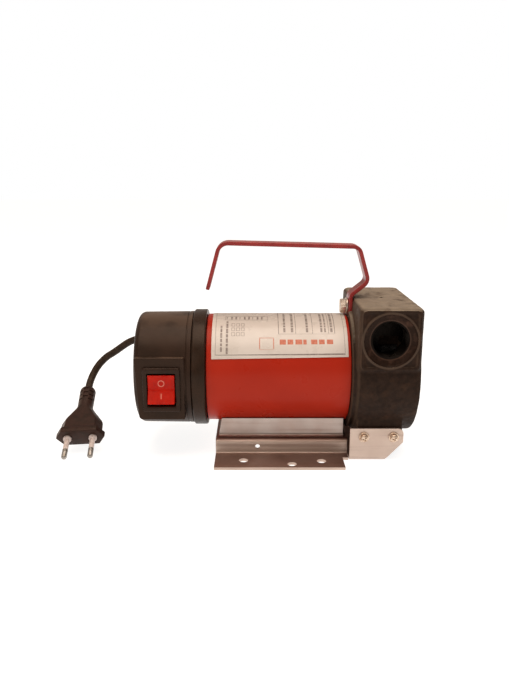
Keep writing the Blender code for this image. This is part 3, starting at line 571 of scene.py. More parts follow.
# ---- plug
PLUG_TAIL = Vector((-146.2, 14.6, 36.2))
PLUG_DIRECTION = Vector((3.5, -57.4, -31.1)).normalized()
PLUG_FACE, PIN_PITCH, PLUG_ROLL = 49.0, 18.6, 2.5
plug_wide = Vector((-PLUG_DIRECTION.y, PLUG_DIRECTION.x, 0)).normalized()
plug_up = PLUG_DIRECTION.cross(plug_wide)
plug_axes = Matrix((PLUG_DIRECTION, plug_wide, plug_up)).transposed().to_4x4()
plug_roll = Matrix.Rotation(math.radians(PLUG_ROLL), 4, "X")
plug_frame = Matrix.Translation(PLUG_TAIL) @ plug_axes @ plug_roll
face_frame = plug_frame @ Matrix.Translation((PLUG_FACE, 0, 0))


def plug_section(along, half_width, half_height, flat, rounding):
    """A rounded hexagon, which is a circle when it is regular and rounding is its half height."""
    shares = ((1, 0), (flat, 1), (-flat, 1), (-1, 0), (-flat, -1), (flat, -1))
    corners = [(a * half_width, b * half_height, rounding) for a, b in shares]
    return [(along, a, b) for a, b in rounded_outline(corners, 6)]


def round_section(along, radius):
    """A hexagon so rounded that hardly any flat is left."""
    return plug_section(along, radius * 2 / math.sqrt(3), radius, 0.5, radius * 0.995)


PLUG_NECK = [(0.0, 3.8), (0.3, 4.6), (1.0, 5.3), (2.0, 5.8), (3.0, 6.0), (17.7, 5.85)]  # along, radius
PLUG_BODY = [
    # along, half width, half height, flat share of the width, corner rounding
    (19.9, 6.7, 5.8, 0.51, 5.4),
    (22.0, 7.2, 5.85, 0.54, 4.4),
    (23.6, 8.0, 5.9, 0.57, 3.6),
    (25.8, 9.4, 6.0, 0.6, 3.0),
    (30.1, 12.4, 6.3, 0.64, 2.4),
    (33.3, 14.5, 6.6, 0.67, 2.0),
    (34.9, 15.3, 6.8, 0.68, 1.8),
    (36.5, 15.7, 6.9, 0.69, 1.6),
    (43.0, 15.8, 7.1, 0.71, 1.5),
    (43.7, 16.0, 7.2, 0.71, 1.4),
    (44.3, 17.3, 7.6, 0.72, 1.3),
    (44.9, 18.0, 7.95, 0.72, 1.2),
    (48.4, 18.0, 7.95, 0.72, 1.2),
    (48.8, 17.8, 7.8, 0.72, 1.1),
    (PLUG_FACE, 17.4, 7.5, 0.72, 1.0),
]
plug_rings = [round_section(along, radius) for along, radius in PLUG_NECK]
plug_rings += [plug_section(*section) for section in PLUG_BODY]
plug_shell = loft("plug_shell", plug_rings, plug_plastic, plug_frame)
on_tail = {"centre": Vector(), "steps": 32, "placing": plug_frame}
plug_tools = [rod("cord_socket", -1, 5.6, CORD_RADIUS + 0.2, **on_tail)]
SLOT_ROWS, FIRST_SLOT, SLOT_PITCH, SLOT_WIDTH = 6, 3.2, 2.1, 0.95
for row in range(SLOT_ROWS):
    start = FIRST_SLOT + row * SLOT_PITCH
    for side in range(4):
        turn = math.radians(90 * side + 45 * (row % 2))
        spin = plug_frame @ Matrix.Rotation(turn, 4, "X")
        slot_low, slot_high = (start, -2.0, 4.9), (start + SLOT_WIDTH, 2.0, 8)
        plug_tools.append(box("slot", slot_low, slot_high, placing=spin))
# the pins' outlines start at the plug's face
PIN_WELL = [(-8, 2.2), (-0.2, 2.2), (-0.2, 3.2), (1, 3.2)]
SLEEVE = [(-0.1, 1.5), (-0.1, 3.0), (1.5, 3.0), (1.9, 2.75), (2.1, 1.95), (10.6, 1.9), (10.8, 1.75)]
SLEEVE += [(10.8, 1.5)]
PRONG = [(-7.5, 0), (-7.5, 1.45), (10.9, 1.45), (10.95, 1.9), (11.2, 2.0), (17.4, 2.0)]
PRONG += [(18.2, 1.75), (18.7, 1.25), (18.95, 0.6), (19.0, 0)]
pin_centres = [Vector((0, sign * PIN_PITCH / 2, 0)) for sign in (-1, 1)]
for pin_centre in pin_centres:
    plug_tools.append(turned("pin_well", PIN_WELL, centre=pin_centre, steps=32, placing=face_frame))
cut(plug_shell, *plug_tools)
place(plug_shell, "black_plastic", "plug_body")
plug_pieces = [plug_shell]
for number, pin_centre in zip((1, 2), pin_centres):
    on_face = {"centre": pin_centre, "steps": 40, "placing": face_frame}
    prong_sleeve = turned(f"prong_sleeve_{number}", SLEEVE, sleeve_plastic, closed=True, **on_face)
    place(prong_sleeve, "pin_metal", f"plug_pin_{number}")
    prong = turned(f"prong_{number}", PRONG, prong_metal, **on_face)
    place(prong, "pin_metal")
    plug_pieces += [prong_sleeve, prong]

# ---- motor tube
tube_outline = [
    (tube_low.x, TUBE_RADIUS - 2.5),
    (tube_low.x, TUBE_RADIUS - 0.5),
    (tube_low.x + 0.5, TUBE_RADIUS),
    (tube_high.x - 0.5, TUBE_RADIUS),
    (tube_high.x, TUBE_RADIUS - 0.5),
    (tube_high.x, TUBE_RADIUS - 2.5),
]
motor_tube = turned("motor_tube", tube_outline, red_enamel, steps=192, closed=True)
place(motor_tube, "red_paint", "motor_housing")

# ---- nameplate with a generic printed layout
LABEL_FROM, LABEL_TO = 22.5, 148.5  # degrees up from the front
FILM_LAYER, PRINT_LAYER = (TUBE_RADIUS + 0.2, 0.2), (TUBE_RADIUS + 0.405, 0.045)  # radius, thickness
DASH_GAP = 1.1  # degrees
LABEL_CORNER_LIFT = 2.5  # degrees by which the lower right corner sits higher than the lower left one


def patch_rings(left, right, low, high, radius, thickness, columns, rows):
    """Rings for a thin patch on the tube, between two angles in degrees up from the front."""
    rings = []
    for column in range(columns + 1):
        x = left + (right - left) * column / columns
        lift = LABEL_CORNER_LIFT * (x - label_low.x) / (label_high.x - label_low.x)
        lower = low + lift * max(0, (60 - low) / 40)
        inner = arc((0, AXIS_Z), radius, 180 - lower, 180 - high, rows)
        outer = arc((0, AXIS_Z), radius + thickness, 180 - high, 180 - lower, rows)
        rings.append([(x, y, z) for y, z in inner + outer])
    return rings


def patches(name, marks, look):
    """All the printed marks of one colour as one mesh."""
    points, faces = [], []
    for left, right, low, high in marks:
        rows = max(1, round((high - low) / 4))
        mark_points, mark_faces = lofted(patch_rings(left, right, low, high, *PRINT_LAYER, 1, rows))
        faces += [[index + len(points) for index in face] for face in mark_faces]
        points += mark_points
    return solid(name, points, faces, look)


def frame_marks(left, right, low, high, width, height):
    """The four sides of a printed box, in millimetres along and degrees round the tube."""
    return [
        (left, right, low, low + height),
        (left, right, high - height, high),
        (left, left + width, low + height, high - height),
        (right - width, right, low + height, high - height),
    ]


def dash_column(left, width, low, high, lengths):
    """Dashes one after another up the tube, with the lengths taken in turn."""
    marks, start, index = [], low, 0
    while start + lengths[index % len(lengths)] <= high:
        length = lengths[index % len(lengths)]
        marks.append((left, left + width, start, start + length))
        start += length + DASH_GAP
        index += 1
    return marks


plate_edges = (label_low.x, label_high.x, LABEL_FROM, LABEL_TO)
nameplate = loft("nameplate", patch_rings(*plate_edges, *FILM_LAYER, 48, 44), label_film)
place(nameplate, "label_foil", "rating_label")
grey_marks = frame_marks(label_low.x + 2.6, label_high.x - 2.2, 26.5, 146, 0.3, 0.4)
grey_marks += dash_column(-39.6, 1.3, 30, 62, [5, 3, 4, 6])
grey_marks += dash_column(-35.6, 1.5, 27.5, 70, [7, 3, 5, 4, 6])
for row in range(3):
    for column in range(3):
        left, low = -31.8 + column * 3.4, 47.5 + row * 6.6
        grey_marks += frame_marks(left, left + 2.5, low, low + 4.6, 0.3, 0.5)
for tick in range(9):
    left = -35.5 + tick * 3.1
    grey_marks.append((left, left + (1.3 if tick % 3 else 0.5), 73, 79))
grey_marks += frame_marks(-36.5, -5.6, 71.5, 80.5, 0.3, 0.5)
grey_marks += frame_marks(1.5, 42.0, 49.5, 95, 0.5, 0.7)
for column_left in (13.8, 25.8, 37.2):
    grey_marks.append((column_left, column_left + 0.35, 50.2, 94.3))
for column_left, width in ((5.2, 1.5), (10.6, 1.7), (21.3, 1.6), (31.6, 1.5), (34.4, 1.1), (38.6, 1.7)):
    grey_marks += dash_column(column_left, width, 52, 92, [6, 3, 4, 7, 2])
label_print_grey = patches("label_print_grey", grey_marks, print_grey)
place(label_print_grey, "label_foil")
red_marks = frame_marks(-12.0, -1.6, 31.5, 45.5, 0.55, 0.9)
for block, width in enumerate((4.4, 4.0, 4.8, 2.4, 4.4, 4.0, 4.4)):
    left = 2.4 + block * 5.55
    red_marks.append((left, left + width, 37.0, 43.4))
label_print_red = patches("label_print_red", red_marks, print_red)
place(label_print_red, "label_foil")

# ---- rear bracket rim
rim_outline = [
    (rim_low.x, 5.0),
    (rim_low.x, RIM_RADIUS - 1.2),
    *arc((rim_low.x + 1.2, RIM_RADIUS - 1.2), 1.2, 170, 90, 5),
    *arc((rim_high.x - 4.9, RIM_RADIUS - 1.0), 1.0, 90, 0, 5),
    (rim_high.x - 3.9, 37.2), (-46.2, 37.2), (-46.2, 34.5), (-54.5, 34.5), (-54.5, 14.5),
    (-49.8, 14.5), (-49.8, 11.3), (-57.9, 11.3), (-57.9, 5.0),
]
bracket_rim = turned("bracket_rim", rim_outline, bracket_black, steps=160, closed=True)
THROUGH_BOLTS = [AXIS + Vector((0, 0, sign * 33.3)) for sign in (-1, 1)]
cut(bracket_rim, *[rod("bolt_hole", -61, -45, 2.8, centre=bolt, steps=32) for bolt in THROUGH_BOLTS])
place(bracket_rim, "bracket_paint", "end_bracket")

# ---- switch cover
COVER_SEAM = -63.5
barrel_outline = [
    (cover_low.x, 0),
    (cover_low.x, 36.6),
    *arc((cover_low.x + 4.6, 36.9), 4.6, 174, 91, 8),
    (COVER_SEAM - 0.5, COVER_RADIUS - 0.15),
    (COVER_SEAM - 0.25, COVER_RADIUS - 0.6),
    (COVER_SEAM + 0.25, COVER_RADIUS - 0.6),
    (COVER_SEAM + 0.5, COVER_RADIUS - 0.1),
    (cover_high.x - 0.4, COVER_RADIUS),
    (cover_high.x, COVER_RADIUS - 0.4),
    (cover_high.x, COVER_RADIUS - 2.2),
    (cover_low.x + 3.8, 38.8),
    (cover_low.x + 2.2, 37.7),
    (cover_low.x + 2.2, 0),
]
switch_cover = turned("switch_cover", barrel_outline, cover_plastic, steps=160)
PANEL_FRONT, PANEL_BOTTOM, PANEL_TOP = -42.0, 31.7, 76.8
PANEL_LEFT, PANEL_RIGHT = -99.7, -64.5
panel_corners = [(PANEL_LEFT, PANEL_TOP, 1.5), (PANEL_LEFT + 2.7, PANEL_BOTTOM, 3.0)]
panel_corners += [(PANEL_RIGHT, PANEL_BOTTOM, 1.0), (PANEL_RIGHT, PANEL_TOP, 1.0)]
panel_outline = rounded_outline(panel_corners)
switch_panel = prism("switch_panel", panel_outline, PANEL_FRONT, -24, cover_plastic, axis="Y")
soften(switch_panel, 0.9, 3, weighted=False)
join(switch_cover, switch_panel)
hollow_low = (PANEL_LEFT + 3.4, PANEL_FRONT + 2, PANEL_BOTTOM + 2)
cover_tools = [
    box("panel_hollow", hollow_low, (PANEL_RIGHT - 2, -20, PANEL_TOP - 2)),
    box("switch_hole", SWITCH + Vector((-11.3, -2, -14.6)), SWITCH + Vector((11.3, 8, 14.6))),
    rod("cord_hole", -102, -95, 4.9, centre=cord_exit, steps=48),
]
for number in (1, 2):
    screw_line = line_along(f"rear_cover_screw_{number}")
    join(switch_cover, rod("screw_boss", -99.0, -60.3, 5.0, centre=screw_line, steps=40))
    well = [(-102, 4.6), (-100.8, 4.6), (-100.6, 4.2), (-96.5, 4.2), (-96.5, 2.3), (-59, 2.3)]
    cover_tools.append(turned("screw_well", well, centre=screw_line, steps=40))
cut(switch_cover, *cover_tools)
shade_evenly(switch_cover)
place(switch_cover, "black_plastic", "rear_cover")


# ---- rocker switch: bezel with a rounded rim, and the rocker in its well
def bezel_ring(depth, half_width, half_height, radius):
    """A rounded rectangle depth millimetres behind the bezel's front."""
    outline = rounded_rectangle(-half_width, half_width, -half_height, half_height, radius, 5)
    return [SWITCH + Vector((a, depth, b)) for a, b in outline]


bezel_half = (bezel_high - bezel_low) / 2
BEZEL_SECTIONS = [
    # depth, half width, half height, corner radius
    (17.0, 10.9, 14.2, 0.8),
    (1.9, 10.9, 14.2, 0.8),
    (1.9, bezel_half.x - 0.05, bezel_half.z - 0.05, 1.2),
    (1.1, bezel_half.x, bezel_half.z, 1.3),
    (0.5, bezel_half.x - 0.15, bezel_half.z - 0.15, 1.3),
    (0.12, bezel_half.x - 0.55, bezel_half.z - 0.55, 1.2),
    (0.0, bezel_half.x - 1.1, bezel_half.z - 1.1, 1.0),
    (0.0, 10.7, 12.5, 0.7),
    (0.25, 10.2, 12.1, 0.6),
    (0.8, 9.9, 11.85, 0.5),
    (14.0, 9.75, 11.75, 0.5),
]
bezel = loft("switch_bezel", [bezel_ring(*section) for section in BEZEL_SECTIONS], bezel_plastic)
place(bezel, "black_plastic", "switch_housing")

ROCKER_HALF_WIDTH, ROCKER_HALF_HEIGHT, ROCKER_TILT = 9.4, 10.2, 9.0
PIVOT = Vector((SWITCH.x, -40.5, SWITCH.z))
rocker_tilt = Matrix.Translation(PIVOT) @ Matrix.Rotation(math.radians(-ROCKER_TILT), 4, "X")
FACE_DEPTH, FACE_RISE = 2.9, 2.6


def face_depth(z):
    """How far the rocker's concave face stands in front of its pivot at height z."""
    share = abs(z) / ROCKER_HALF_HEIGHT
    return FACE_DEPTH + FACE_RISE * (0.75 * share + 0.25 * share * share)


FACE_STEPS = 16
rocker_outline = []
for step in range(FACE_STEPS + 1):
    height = ROCKER_HALF_HEIGHT * (1 - 2 * step / FACE_STEPS)
    rocker_outline.append((-face_depth(height), height))
rocker_outline += [(2.0, -ROCKER_HALF_HEIGHT), (5.4, -5), (5.4, 5), (2.0, ROCKER_HALF_HEIGHT)]
rocker_sides = (-ROCKER_HALF_WIDTH, ROCKER_HALF_WIDTH)
switch_key = prism("switch_key", rocker_outline, *rocker_sides, rocker_plastic, placing=rocker_tilt)
soften(switch_key, 0.55, 3)
place(switch_key, "switch_red", "switch_rocker", body=ROCKER)

# the two marks, a ring and a bar, are let into the face and stand a little proud of it
MARK_STEPS, MARK_SUNK, MARK_PROUD = 32, 0.2, 0.05
mark_rings = []
for step in range(MARK_STEPS):
    angle = 2 * math.pi * step / MARK_STEPS
    ring = []
    for radius, proud in ((2.35, -MARK_SUNK), (2.35, MARK_PROUD), (1.8, MARK_PROUD), (1.8, -MARK_SUNK)):
        side, height = radius * math.cos(angle), 4.3 + radius * math.sin(angle)
        ring.append((side, -face_depth(height) - proud, height))
    mark_rings.append(ring)
off_mark = loft("off_mark", mark_rings, rocker_mark, rocker_tilt, closed=True)
place(off_mark, "switch_red", body=ROCKER)
BAR_TOP, BAR_LENGTH, BAR_HALF, BAR_STEPS = -2.8, 3.6, 0.35, 6
on_rings = []
for step in range(BAR_STEPS + 1):
    height = BAR_TOP - BAR_LENGTH * step / BAR_STEPS
    deep, proud = MARK_SUNK - face_depth(height), -face_depth(height) - MARK_PROUD
    corners = ((-BAR_HALF, deep), (BAR_HALF, deep), (BAR_HALF, proud), (-BAR_HALF, proud))
    on_rings.append([(side, front, height) for side, front in corners])
on_mark = loft("on_mark", on_rings, rocker_mark, rocker_tilt)
place(on_mark, "switch_red", body=ROCKER)

# ---- pump casting: round body, port block and foot in one rough casting, then machined
casting_outline = [
    (head_low.x, 0), (head_low.x, 37.2), (53.0, 37.2), (53.0, 45.0), (56.8, 45.0), (56.8, 46.3),
    (57.6, 47.1), (head_high.x - 1.6, 47.1), (head_high.x - 0.5, 46.6), (head_high.x, 45.5),
    (head_high.x, 0),
]
casting = turned("pump_casting", casting_outline, cast_paint, steps=128)
BLOCK_LEFT, BLOCK_RIGHT, BLOCK_FRONT, BLOCK_BOTTOM, BLOCK_EDGE = 55.8, 99.7, 47.5, 68.5, 3.2


def block_ring(z, inset):
    """The block's outline seen from above, drawn in by inset."""
    left, right, front = BLOCK_LEFT + inset, BLOCK_RIGHT - inset, BLOCK_FRONT - inset
    corners = [(left, -front, 3.4), (right, -front, 2.4), (right, front, 2.4), (left, front, 3.4)]
    return [(x, y, z) for x, y in rounded_outline(corners)]


block_rings = [block_ring(BLOCK_BOTTOM, 0.8), block_ring(BLOCK_BOTTOM + 0.8, 0)]
for inset, z in arc((BLOCK_EDGE, head_high.z - BLOCK_EDGE), BLOCK_EDGE, 180, 90, 4):
    block_rings.append(block_ring(z, inset))
port_block = loft("port_block", block_rings)
head_foot = box("head_foot", (58.0, -38.2, head_low.z), (91.0, 38.2, 32.0))
soften(head_foot, 1.2, 2, weighted=False)
casting_parts = [port_block, head_foot]
for sign in (-1, 1):
    levels = sorted((sign * 40.0, sign * 48.5))
    casting_parts.append(rod("port_lip", *levels, 19.6, axis="Y", centre=PORT, steps=64))
    border = prism("port_border", rounded_rectangle(57.6, 98.2, 69.7, 111.6, 3), *levels, axis="Y")
    field = rounded_rectangle(59.6, 96.2, 71.7, 109.6, 2.6)
    cut(border, prism("port_field", field, -60, 60, axis="Y"))
    casting_parts.append(border)
join(casting, *casting_parts)
QUICK_VOXEL, FINE_VOXEL = 1.4, 0.62
remesh = casting.modifiers.new("casting grain", "REMESH")
remesh.mode = "VOXEL"
remesh.voxel_size = FINE_VOXEL * MM
smoothing = casting.modifiers.new("casting fillets", "SMOOTH")
smoothing.factor = 0.5
smoothing.iterations = 4
for size, height in ((7.0, 0.22), (2.4, 0.14)):
    grain = bpy.data.textures.new("casting_grain", "CLOUDS")
    grain.noise_scale = size * MM
    swell = casting.modifiers.new("casting swell", "DISPLACE")
    swell.texture = grain
    swell.strength = height * MM
    swell.mid_level = 0.75
settle(casting, 60)

THREAD_PITCH, THREAD_DEPTH = 1.814, 1.1
THREAD_START, THREAD_END, THREAD_STEPS = 31.0, 45.4, 64


def port_tool(sign):
    """What a port removes: a plain bore, a helical pipe thread and a dished mouth."""

    def ring_at(level, radius):
        return ring_points(sign * level, radius, "Y", PORT, THREAD_STEPS)

    rings = [ring_at(20.0, PORT_RADIUS), ring_at(THREAD_START, PORT_RADIUS)]
    per_pitch = 6
    rows = round((THREAD_END - THREAD_START) / THREAD_PITCH * per_pitch)
    for row in range(1, rows + 1):
        along = THREAD_START + (THREAD_END - THREAD_START) * row / rows
        ring = []
        for step in range(THREAD_STEPS):
            turns = along / THREAD_PITCH + sign * step / THREAD_STEPS
            groove = abs((turns % 1.0) * 2 - 1)
            radius = PORT_RADIUS + THREAD_DEPTH * groove
            angle = 2 * math.pi * step / THREAD_STEPS
            ring.append(PORT + Vector((radius * math.cos(angle), sign * along, radius * math.sin(angle))))
        rings.append(ring)
    mouth = [(45.3, 13.4), (45.5, 13.9), (46.6, 17.2), (47.3, 18.1), (47.8, 18.4), (50.0, 18.5)]
    rings += [ring_at(level, radius) for level, radius in mouth]
    return loft("port", rings, port_oil_and_shade)


dimple_line = Vector((77.7, -2.8, 0))
head_tools = [
    box("handle_notch", (52, -9, 98.9), (57.1, 9, head_high.z + 1)),
    rod("bearing_seat", 48, 57.6, 13.3, steps=64),
    rod("shaft_bore", 50, 75, 5.6, steps=48),
    rod("seal_pocket", 64.5, 73, 11.3, steps=48),
    rod("chamber", 72.0, 96, 27.3, steps=96),
    rod("cover_recess", 94.5, 101, 41.0, steps=128),
    rod("handle_bolt_hole", 55, 72, 3.3, centre=HANDLE_BOLT, steps=32),
    rod("top_dimple", head_high.z - 0.8, head_high.z + 2, 1.3, axis="Z", centre=dimple_line, steps=24),
]
for sign in (-1, 1):
    near, far = sorted((sign * 17.0, sign * 29.5))
    head_tools += [port_tool(sign), box("duct", (74, near, 72), (88, far, 88))]
for bolt_line in THROUGH_BOLTS:
    head_tools.append(rod("bolt_thread", 48, 63, 2.8, centre=bolt_line, steps=24))
for number in FOUR:
    foot_screw, end_screw = f"base_screw_{number}", f"pump_cover_screw_{number}"
    side = middle(foot_screw).y
    levels = sorted((math.copysign(28, side), math.copysign(40, side)))
    head_tools.append(rod("foot_thread", *levels, 2.4, axis="Y", centre=line_across(foot_screw), steps=24))
    head_tools.append(rod("cover_thread", 84, 95, 2.2, centre=line_along(end_screw), steps=24))
cut(casting, *head_tools)
place(casting, "painted_casting", "pump_head")

# ---- end plate of the pump and its screws
plate_outline = [
    (94.8, 0), (94.8, 28.9), (96.6, 28.9), (96.6, 31.1), (94.8, 31.1), (94.8, 40.7), (99.5, 40.7),
    (100.1, 40.1), (100.1, 24.0), (99.8, 23.6), (99.8, 0),
]
end_plate = turned("end_plate", plate_outline, machined_black, steps=128)
SINK = [(94, 2.2), (97.8, 2.2), (100.0, 4.3), (101, 5.3)]
end_lines = [line_along(f"pump_cover_screw_{number}") for number in FOUR]
cut(end_plate, *[turned("sink", SINK, centre=screw_line, steps=40) for screw_line in end_lines])
place(end_plate, "painted_casting", "pump_cover")

RECESS_TURN = 20  # degrees by which the driver crosses stand turned


def cross_recess(depth_start, depth_end, width, length, placing):
    """The two crossed bars of a driver recess, along the local X axis."""
    low, high = (depth_start, -length / 2, -width / 2), (depth_end, length / 2, width / 2)
    turns = [Matrix.Rotation(math.radians(angle + RECESS_TURN), 4, "X") for angle in (0, 90)]
    return [box("recess", low, high, placing=placing @ turn) for turn in turns]


SHANK = [(85, 0), (85, 1.9), (97.9, 1.9), (99.6, 3.6), (99.9, 3.75), (99.95, 3.4), (99.95, 0)]
for number, screw_line in zip(FOUR, end_lines):
    end_screw = turned(f"end_plate_screw_{number}", SHANK, bolt_steel, centre=screw_line, steps=40)
    cut(end_screw, *cross_recess(98.4, 101, 0.9, 4.2, Matrix.Translation(screw_line)))
    place(end_screw, "screw_steel", f"pump_cover_screw_{number}")

# ---- base plate: a folded hat section that runs on as a floor with two upright tabs
SHEET, BASE_BEND = 2.0, 2.2  # thickness of the sheet and radius of its folds
hat_corners = mirrored([(-plate_high.y, 1.0, 0), (-30.0, 1.0, BASE_BEND), (-30.0, 11.5, BASE_BEND)])
TAB_LEFT, TAB_MIDDLE, TAB_TOP = 53.1, 39.5, 24.5
FEET_RIGHT, HAT_RIGHT = 48.4, 52.5
tab_corners = mirrored([(-TAB_MIDDLE, TAB_TOP, 0), (-TAB_MIDDLE, 1.0, BASE_BEND)])
hat_outline, tab_outline = strip_outline(hat_corners, SHEET), strip_outline(tab_corners, SHEET)
base_sheet = prism("base_sheet", hat_outline, plate_low.x, HAT_RIGHT, base_zinc)
tabs = prism("tabs", tab_outline, TAB_LEFT, plate_high.x, base_zinc)
tab_trim = [
    (78.0, -1.0),
    (78.0, 0.0),
    (plate_high.x, 14.2),
    *arc((plate_high.x - 4, TAB_TOP - 4), 4, 0, 90, 8),
    (86.0, TAB_TOP + 2),
    (plate_high.x + 3, TAB_TOP + 2),
    (plate_high.x + 3, -1.0),
]
cut(tabs, prism("tab_trim", tab_trim, -50, 50, axis="Y"))
tab_floor = box("tab_floor", (HAT_RIGHT - 2, -34, 0.02), (TAB_LEFT + 2, 34, SHEET - 0.02))
for sign in (-1, 1):
    near, far = sorted((sign * 39.5, sign * 60.0))
    cut(base_sheet, box("foot_trim", (FEET_RIGHT, near, -1), (HAT_RIGHT + 1, far, 3)))
join(base_sheet, tabs, tab_floor)
FOOT_HOLES = [(-23.2, 44.6), (11.2, 51.1), (32.5, 45.8)]
base_tools = [rod("web_hole", -33, 33, 1.75, axis="Y", centre=Vector((-13.1, 0, 7)), steps=32)]
for hole_x, hole_y in FOOT_HOLES:
    for sign in (-1, 1):
        hole_centre = Vector((hole_x, sign * hole_y, 0))
        base_tools.append(rod("foot_hole", -1, 3, 3.3, axis="Z", centre=hole_centre, steps=40))
for number in (1, 2):
    screw_line = line_across(f"base_screw_{number}")
    base_tools.append(rod("tab_hole", -44, 44, 2.4, axis="Y", centre=screw_line, steps=32))
cut(base_sheet, *base_tools)
soften(base_sheet, 0.25, 2, 50)
place(base_sheet, "zinc_plate", "base_plate")

# ---- saddle between the base plate and the motor tube
SADDLE_HALF, SADDLE_FOOT, SADDLE_TOP, SADDLE_BEND, WELD = 23.0, 13.8, 26.4, 1.3, 2.8
saddle_corners = mirrored([(-SADDLE_HALF, SADDLE_TOP, 0), (-SADDLE_HALF, SADDLE_FOOT, SADDLE_BEND)])
saddle_outline = strip_outline(saddle_corners, SHEET)
saddle = prism("saddle", saddle_outline, saddle_low.x, saddle_high.x, galvanised)
weld_foot = SADDLE_FOOT - SHEET / 2
for sign in (-1, 1):
    hollow = arc((SADDLE_HALF + SHEET / 2 + WELD, weld_foot + WELD), WELD, 180, 270, 8)
    weld = [(sign * a, b) for a, b in [(22.6, weld_foot), (22.6, weld_foot + WELD), *hollow]]
    join(saddle, prism("weld", weld, saddle_low.x, saddle_high.x))
slanted_end = [(-46, 12), (saddle_low.x - 0.1, 12), (saddle_low.x + 2.9, 28), (-46, 28)]
cut(saddle, prism("saddle_end", slanted_end, -28, 28, axis="Y"))
soften(saddle, 0.25, 2, 50)
place(saddle, "zinc_plate", "motor_saddle")

# ---- tab screws and washers
TAB_WASHER = [(40.8, 2.4), (40.8, 3.5), (40.95, 3.7), (41.6, 3.7), (41.8, 3.5), (41.8, 2.4)]
TAB_SCREW = [(30, 0), (30, 2.1), (41.9, 2.1), (42.1, 2.75), (42.5, 2.9), (43.2, 2.8), (43.8, 2.5)]
TAB_SCREW += [(44.2, 1.9), (44.4, 0)]
for number in FOUR:
    node = f"base_screw_{number}"
    outward = math.copysign(90, middle(node).y)
    facing = Matrix.Translation(line_across(node)) @ Matrix.Rotation(math.radians(outward), 4, "Z")
    on_line = {"centre": Vector(), "steps": 48, "placing": facing}
    tab_washer = turned(f"tab_washer_{number}", TAB_WASHER, screw_plate, closed=True, **on_line)
    place(tab_washer, "screw_steel", f"base_washer_{number}")
    tab_screw = turned(f"tab_screw_{number}", TAB_SCREW, screw_plate, **on_line)
    cut(tab_screw, *cross_recess(43.1, 46, 0.8, 3.4, facing))
    place(tab_screw, "screw_steel", node)

# ---- carrying handle and its bolt
HANDLE_HALF, HANDLE_THICKNESS = 7.5, 2.8
HANDLE_CORNERS = [
    # x, z, bend radius
    (-49.6, 119.0, 0.0),
    (-40.4, 152.5, 8.0),
    (59.9, 149.9, 6.0),
    (67.4, 124.9, 6.0),
    (54.9, 114.8, 5.0),
    (54.9, 99.6, 0.0),
]
handle_outline = strip_outline(HANDLE_CORNERS, HANDLE_THICKNESS)
handle_bar = prism("handle_bar", handle_outline, -HANDLE_HALF, HANDLE_HALF, handle_enamel, axis="Y")
cut(handle_bar, rod("handle_hole", 52, 58, 3.4, centre=HANDLE_BOLT, steps=40))
soften(handle_bar, 0.7, 3, 50)
place(handle_bar, "handle_red", "carry_handle")

WASHER = [(52.0, 3.4), (52.0, 5.8), (52.2, 6.1), (53.0, 6.1), (53.2, 5.8), (53.2, 3.4)]
bolt_washer = turned("bolt_washer", WASHER, bolt_steel, centre=HANDLE_BOLT, steps=48, closed=True)
place(bolt_washer, "screw_steel", "handle_washer")
BOLT = [(50.5, 0), (50.5, 3.0), (69.4, 3.0), (70.0, 2.4), (70.0, 0)]
bolt_shank = turned("hex_bolt", BOLT, bolt_steel, centre=HANDLE_BOLT, steps=40)
hex_head = rod("hex_head", 47.7, 51.7, 5.6, bolt_steel, centre=HANDLE_BOLT, steps=6)
chamfer = turned("head_chamfer", [(47.5, 4.3), (48.9, 5.9), (52, 5.9)], centre=HANDLE_BOLT, steps=48)
combine(hex_head, [chamfer], "INTERSECT")
join(bolt_shank, hex_head)
place(bolt_shank, "screw_steel", "handle_bolt")

# ---- looks of the CAD nodes that stay
CARRIED = {
    bright_steel: ["motor_shaft", "rear_bearing", "front_bearing", "armature_core", "cam_ring"]
    + ["pump_rotor", "brush_spring_front", "brush_spring_back"],
    copper_wire: ["armature_winding", "commutator"],
    resin_board: ["brush_plate"] + [f"vane_{number}" for number in range(1, 6)],
    brass_sheet: ["brush_holder_front", "brush_holder_back"],
    carbon_block: ["brush_front", "brush_back"],
    magnet_ceramic: ["field_magnet_front", "field_magnet_back", "bridge_rectifier"],
    bolt_steel: ["through_bolt_top", "through_bolt_bottom", "rear_cover_screw_1", "rear_cover_screw_2"],
    capacitor_case: ["noise_capacitor"],
    cord_rubber: ["cover_seal_ring", "shaft_seal"],
}
for look, nodes in CARRIED.items():
    for node in nodes:
        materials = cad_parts[node].data.materials
        for index in range(len(materials)):
            materials[index] = look.material

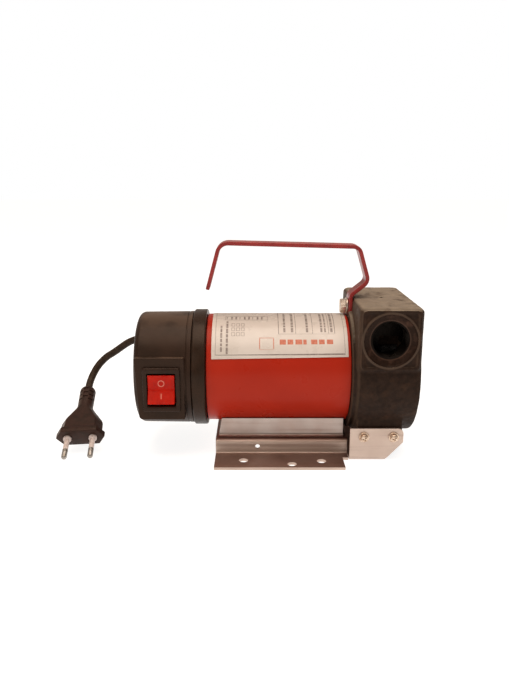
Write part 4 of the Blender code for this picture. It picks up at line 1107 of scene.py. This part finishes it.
# ---- floor, background and lights
floor_look = Look("studio_floor", (0.45, 0.45, 0.45, 1.0), 0.9)
floor_look.mottle((0.44, 0.44, 0.44, 1.0), 300)
floor_look.shine({"Specular IOR Level": 0.1, "Emission Color": (1, 1, 1, 1), "Emission Strength": 0.85})
FLOOR_HALF, FLOOR_THICKNESS = 6000, 20
floor_low = (-FLOOR_HALF, -FLOOR_HALF, -FLOOR_THICKNESS)
floor = box("studio_floor", floor_low, (FLOOR_HALF, FLOOR_HALF, 0), floor_look)

world = bpy.data.worlds.new("studio")
world.use_nodes = True
bpy.context.scene.world = world
sky = world.node_tree
sky.nodes.clear()
# white where the camera looks, and a warm light that grows from front to back for everything else
depth = add_node(sky, "SeparateXYZ", {"Vector": add_node(sky, "TexCoord", {}, "Generated")}, "Y")
growth = {"Value": depth, "From Min": -0.9, "From Max": 0.5, "To Min": 0.18, "To Max": 0.5}
warm = {"Color": (1.0, 0.87, 0.76, 1.0), "Strength": add_node(sky, "MapRange", growth)}
lighting = add_node(sky, "Background", warm)
seen = add_node(sky, "Background", {"Color": (1.0, 1.0, 1.0, 1.0)})
to_camera = add_node(sky, "LightPath", {}, "Is Camera Ray")
mixed = add_node(sky, "MixShader", {0: to_camera, 1: lighting, 2: seen})
add_node(sky, "OutputWorld", {"Surface": mixed})
WARM = (1.0, 0.86, 0.75)


def soft_light(name, place_at, target, width, depth, power):
    """A soft rectangular light aimed at a target, in metres and watts."""
    data = bpy.data.lights.new(name, "AREA")
    data.shape = "RECTANGLE"
    data.size, data.size_y = width, depth
    data.energy = power
    data.color = WARM
    lamp = new_object(name, data)
    lamp.location = place_at
    lamp.rotation_euler = (Vector(target) - Vector(place_at)).to_track_quat("-Z", "Y").to_euler()


soft_light("overhead_softbox", (0.0, -0.15, 1.1), (0, 0, 0.05), 1.2, 0.8, 11)
soft_light("front_fill", (-0.5, -1.2, 0.7), (0, 0, 0.06), 0.6, 0.6, 2)
bpy.context.scene.view_settings.view_transform = "Standard"
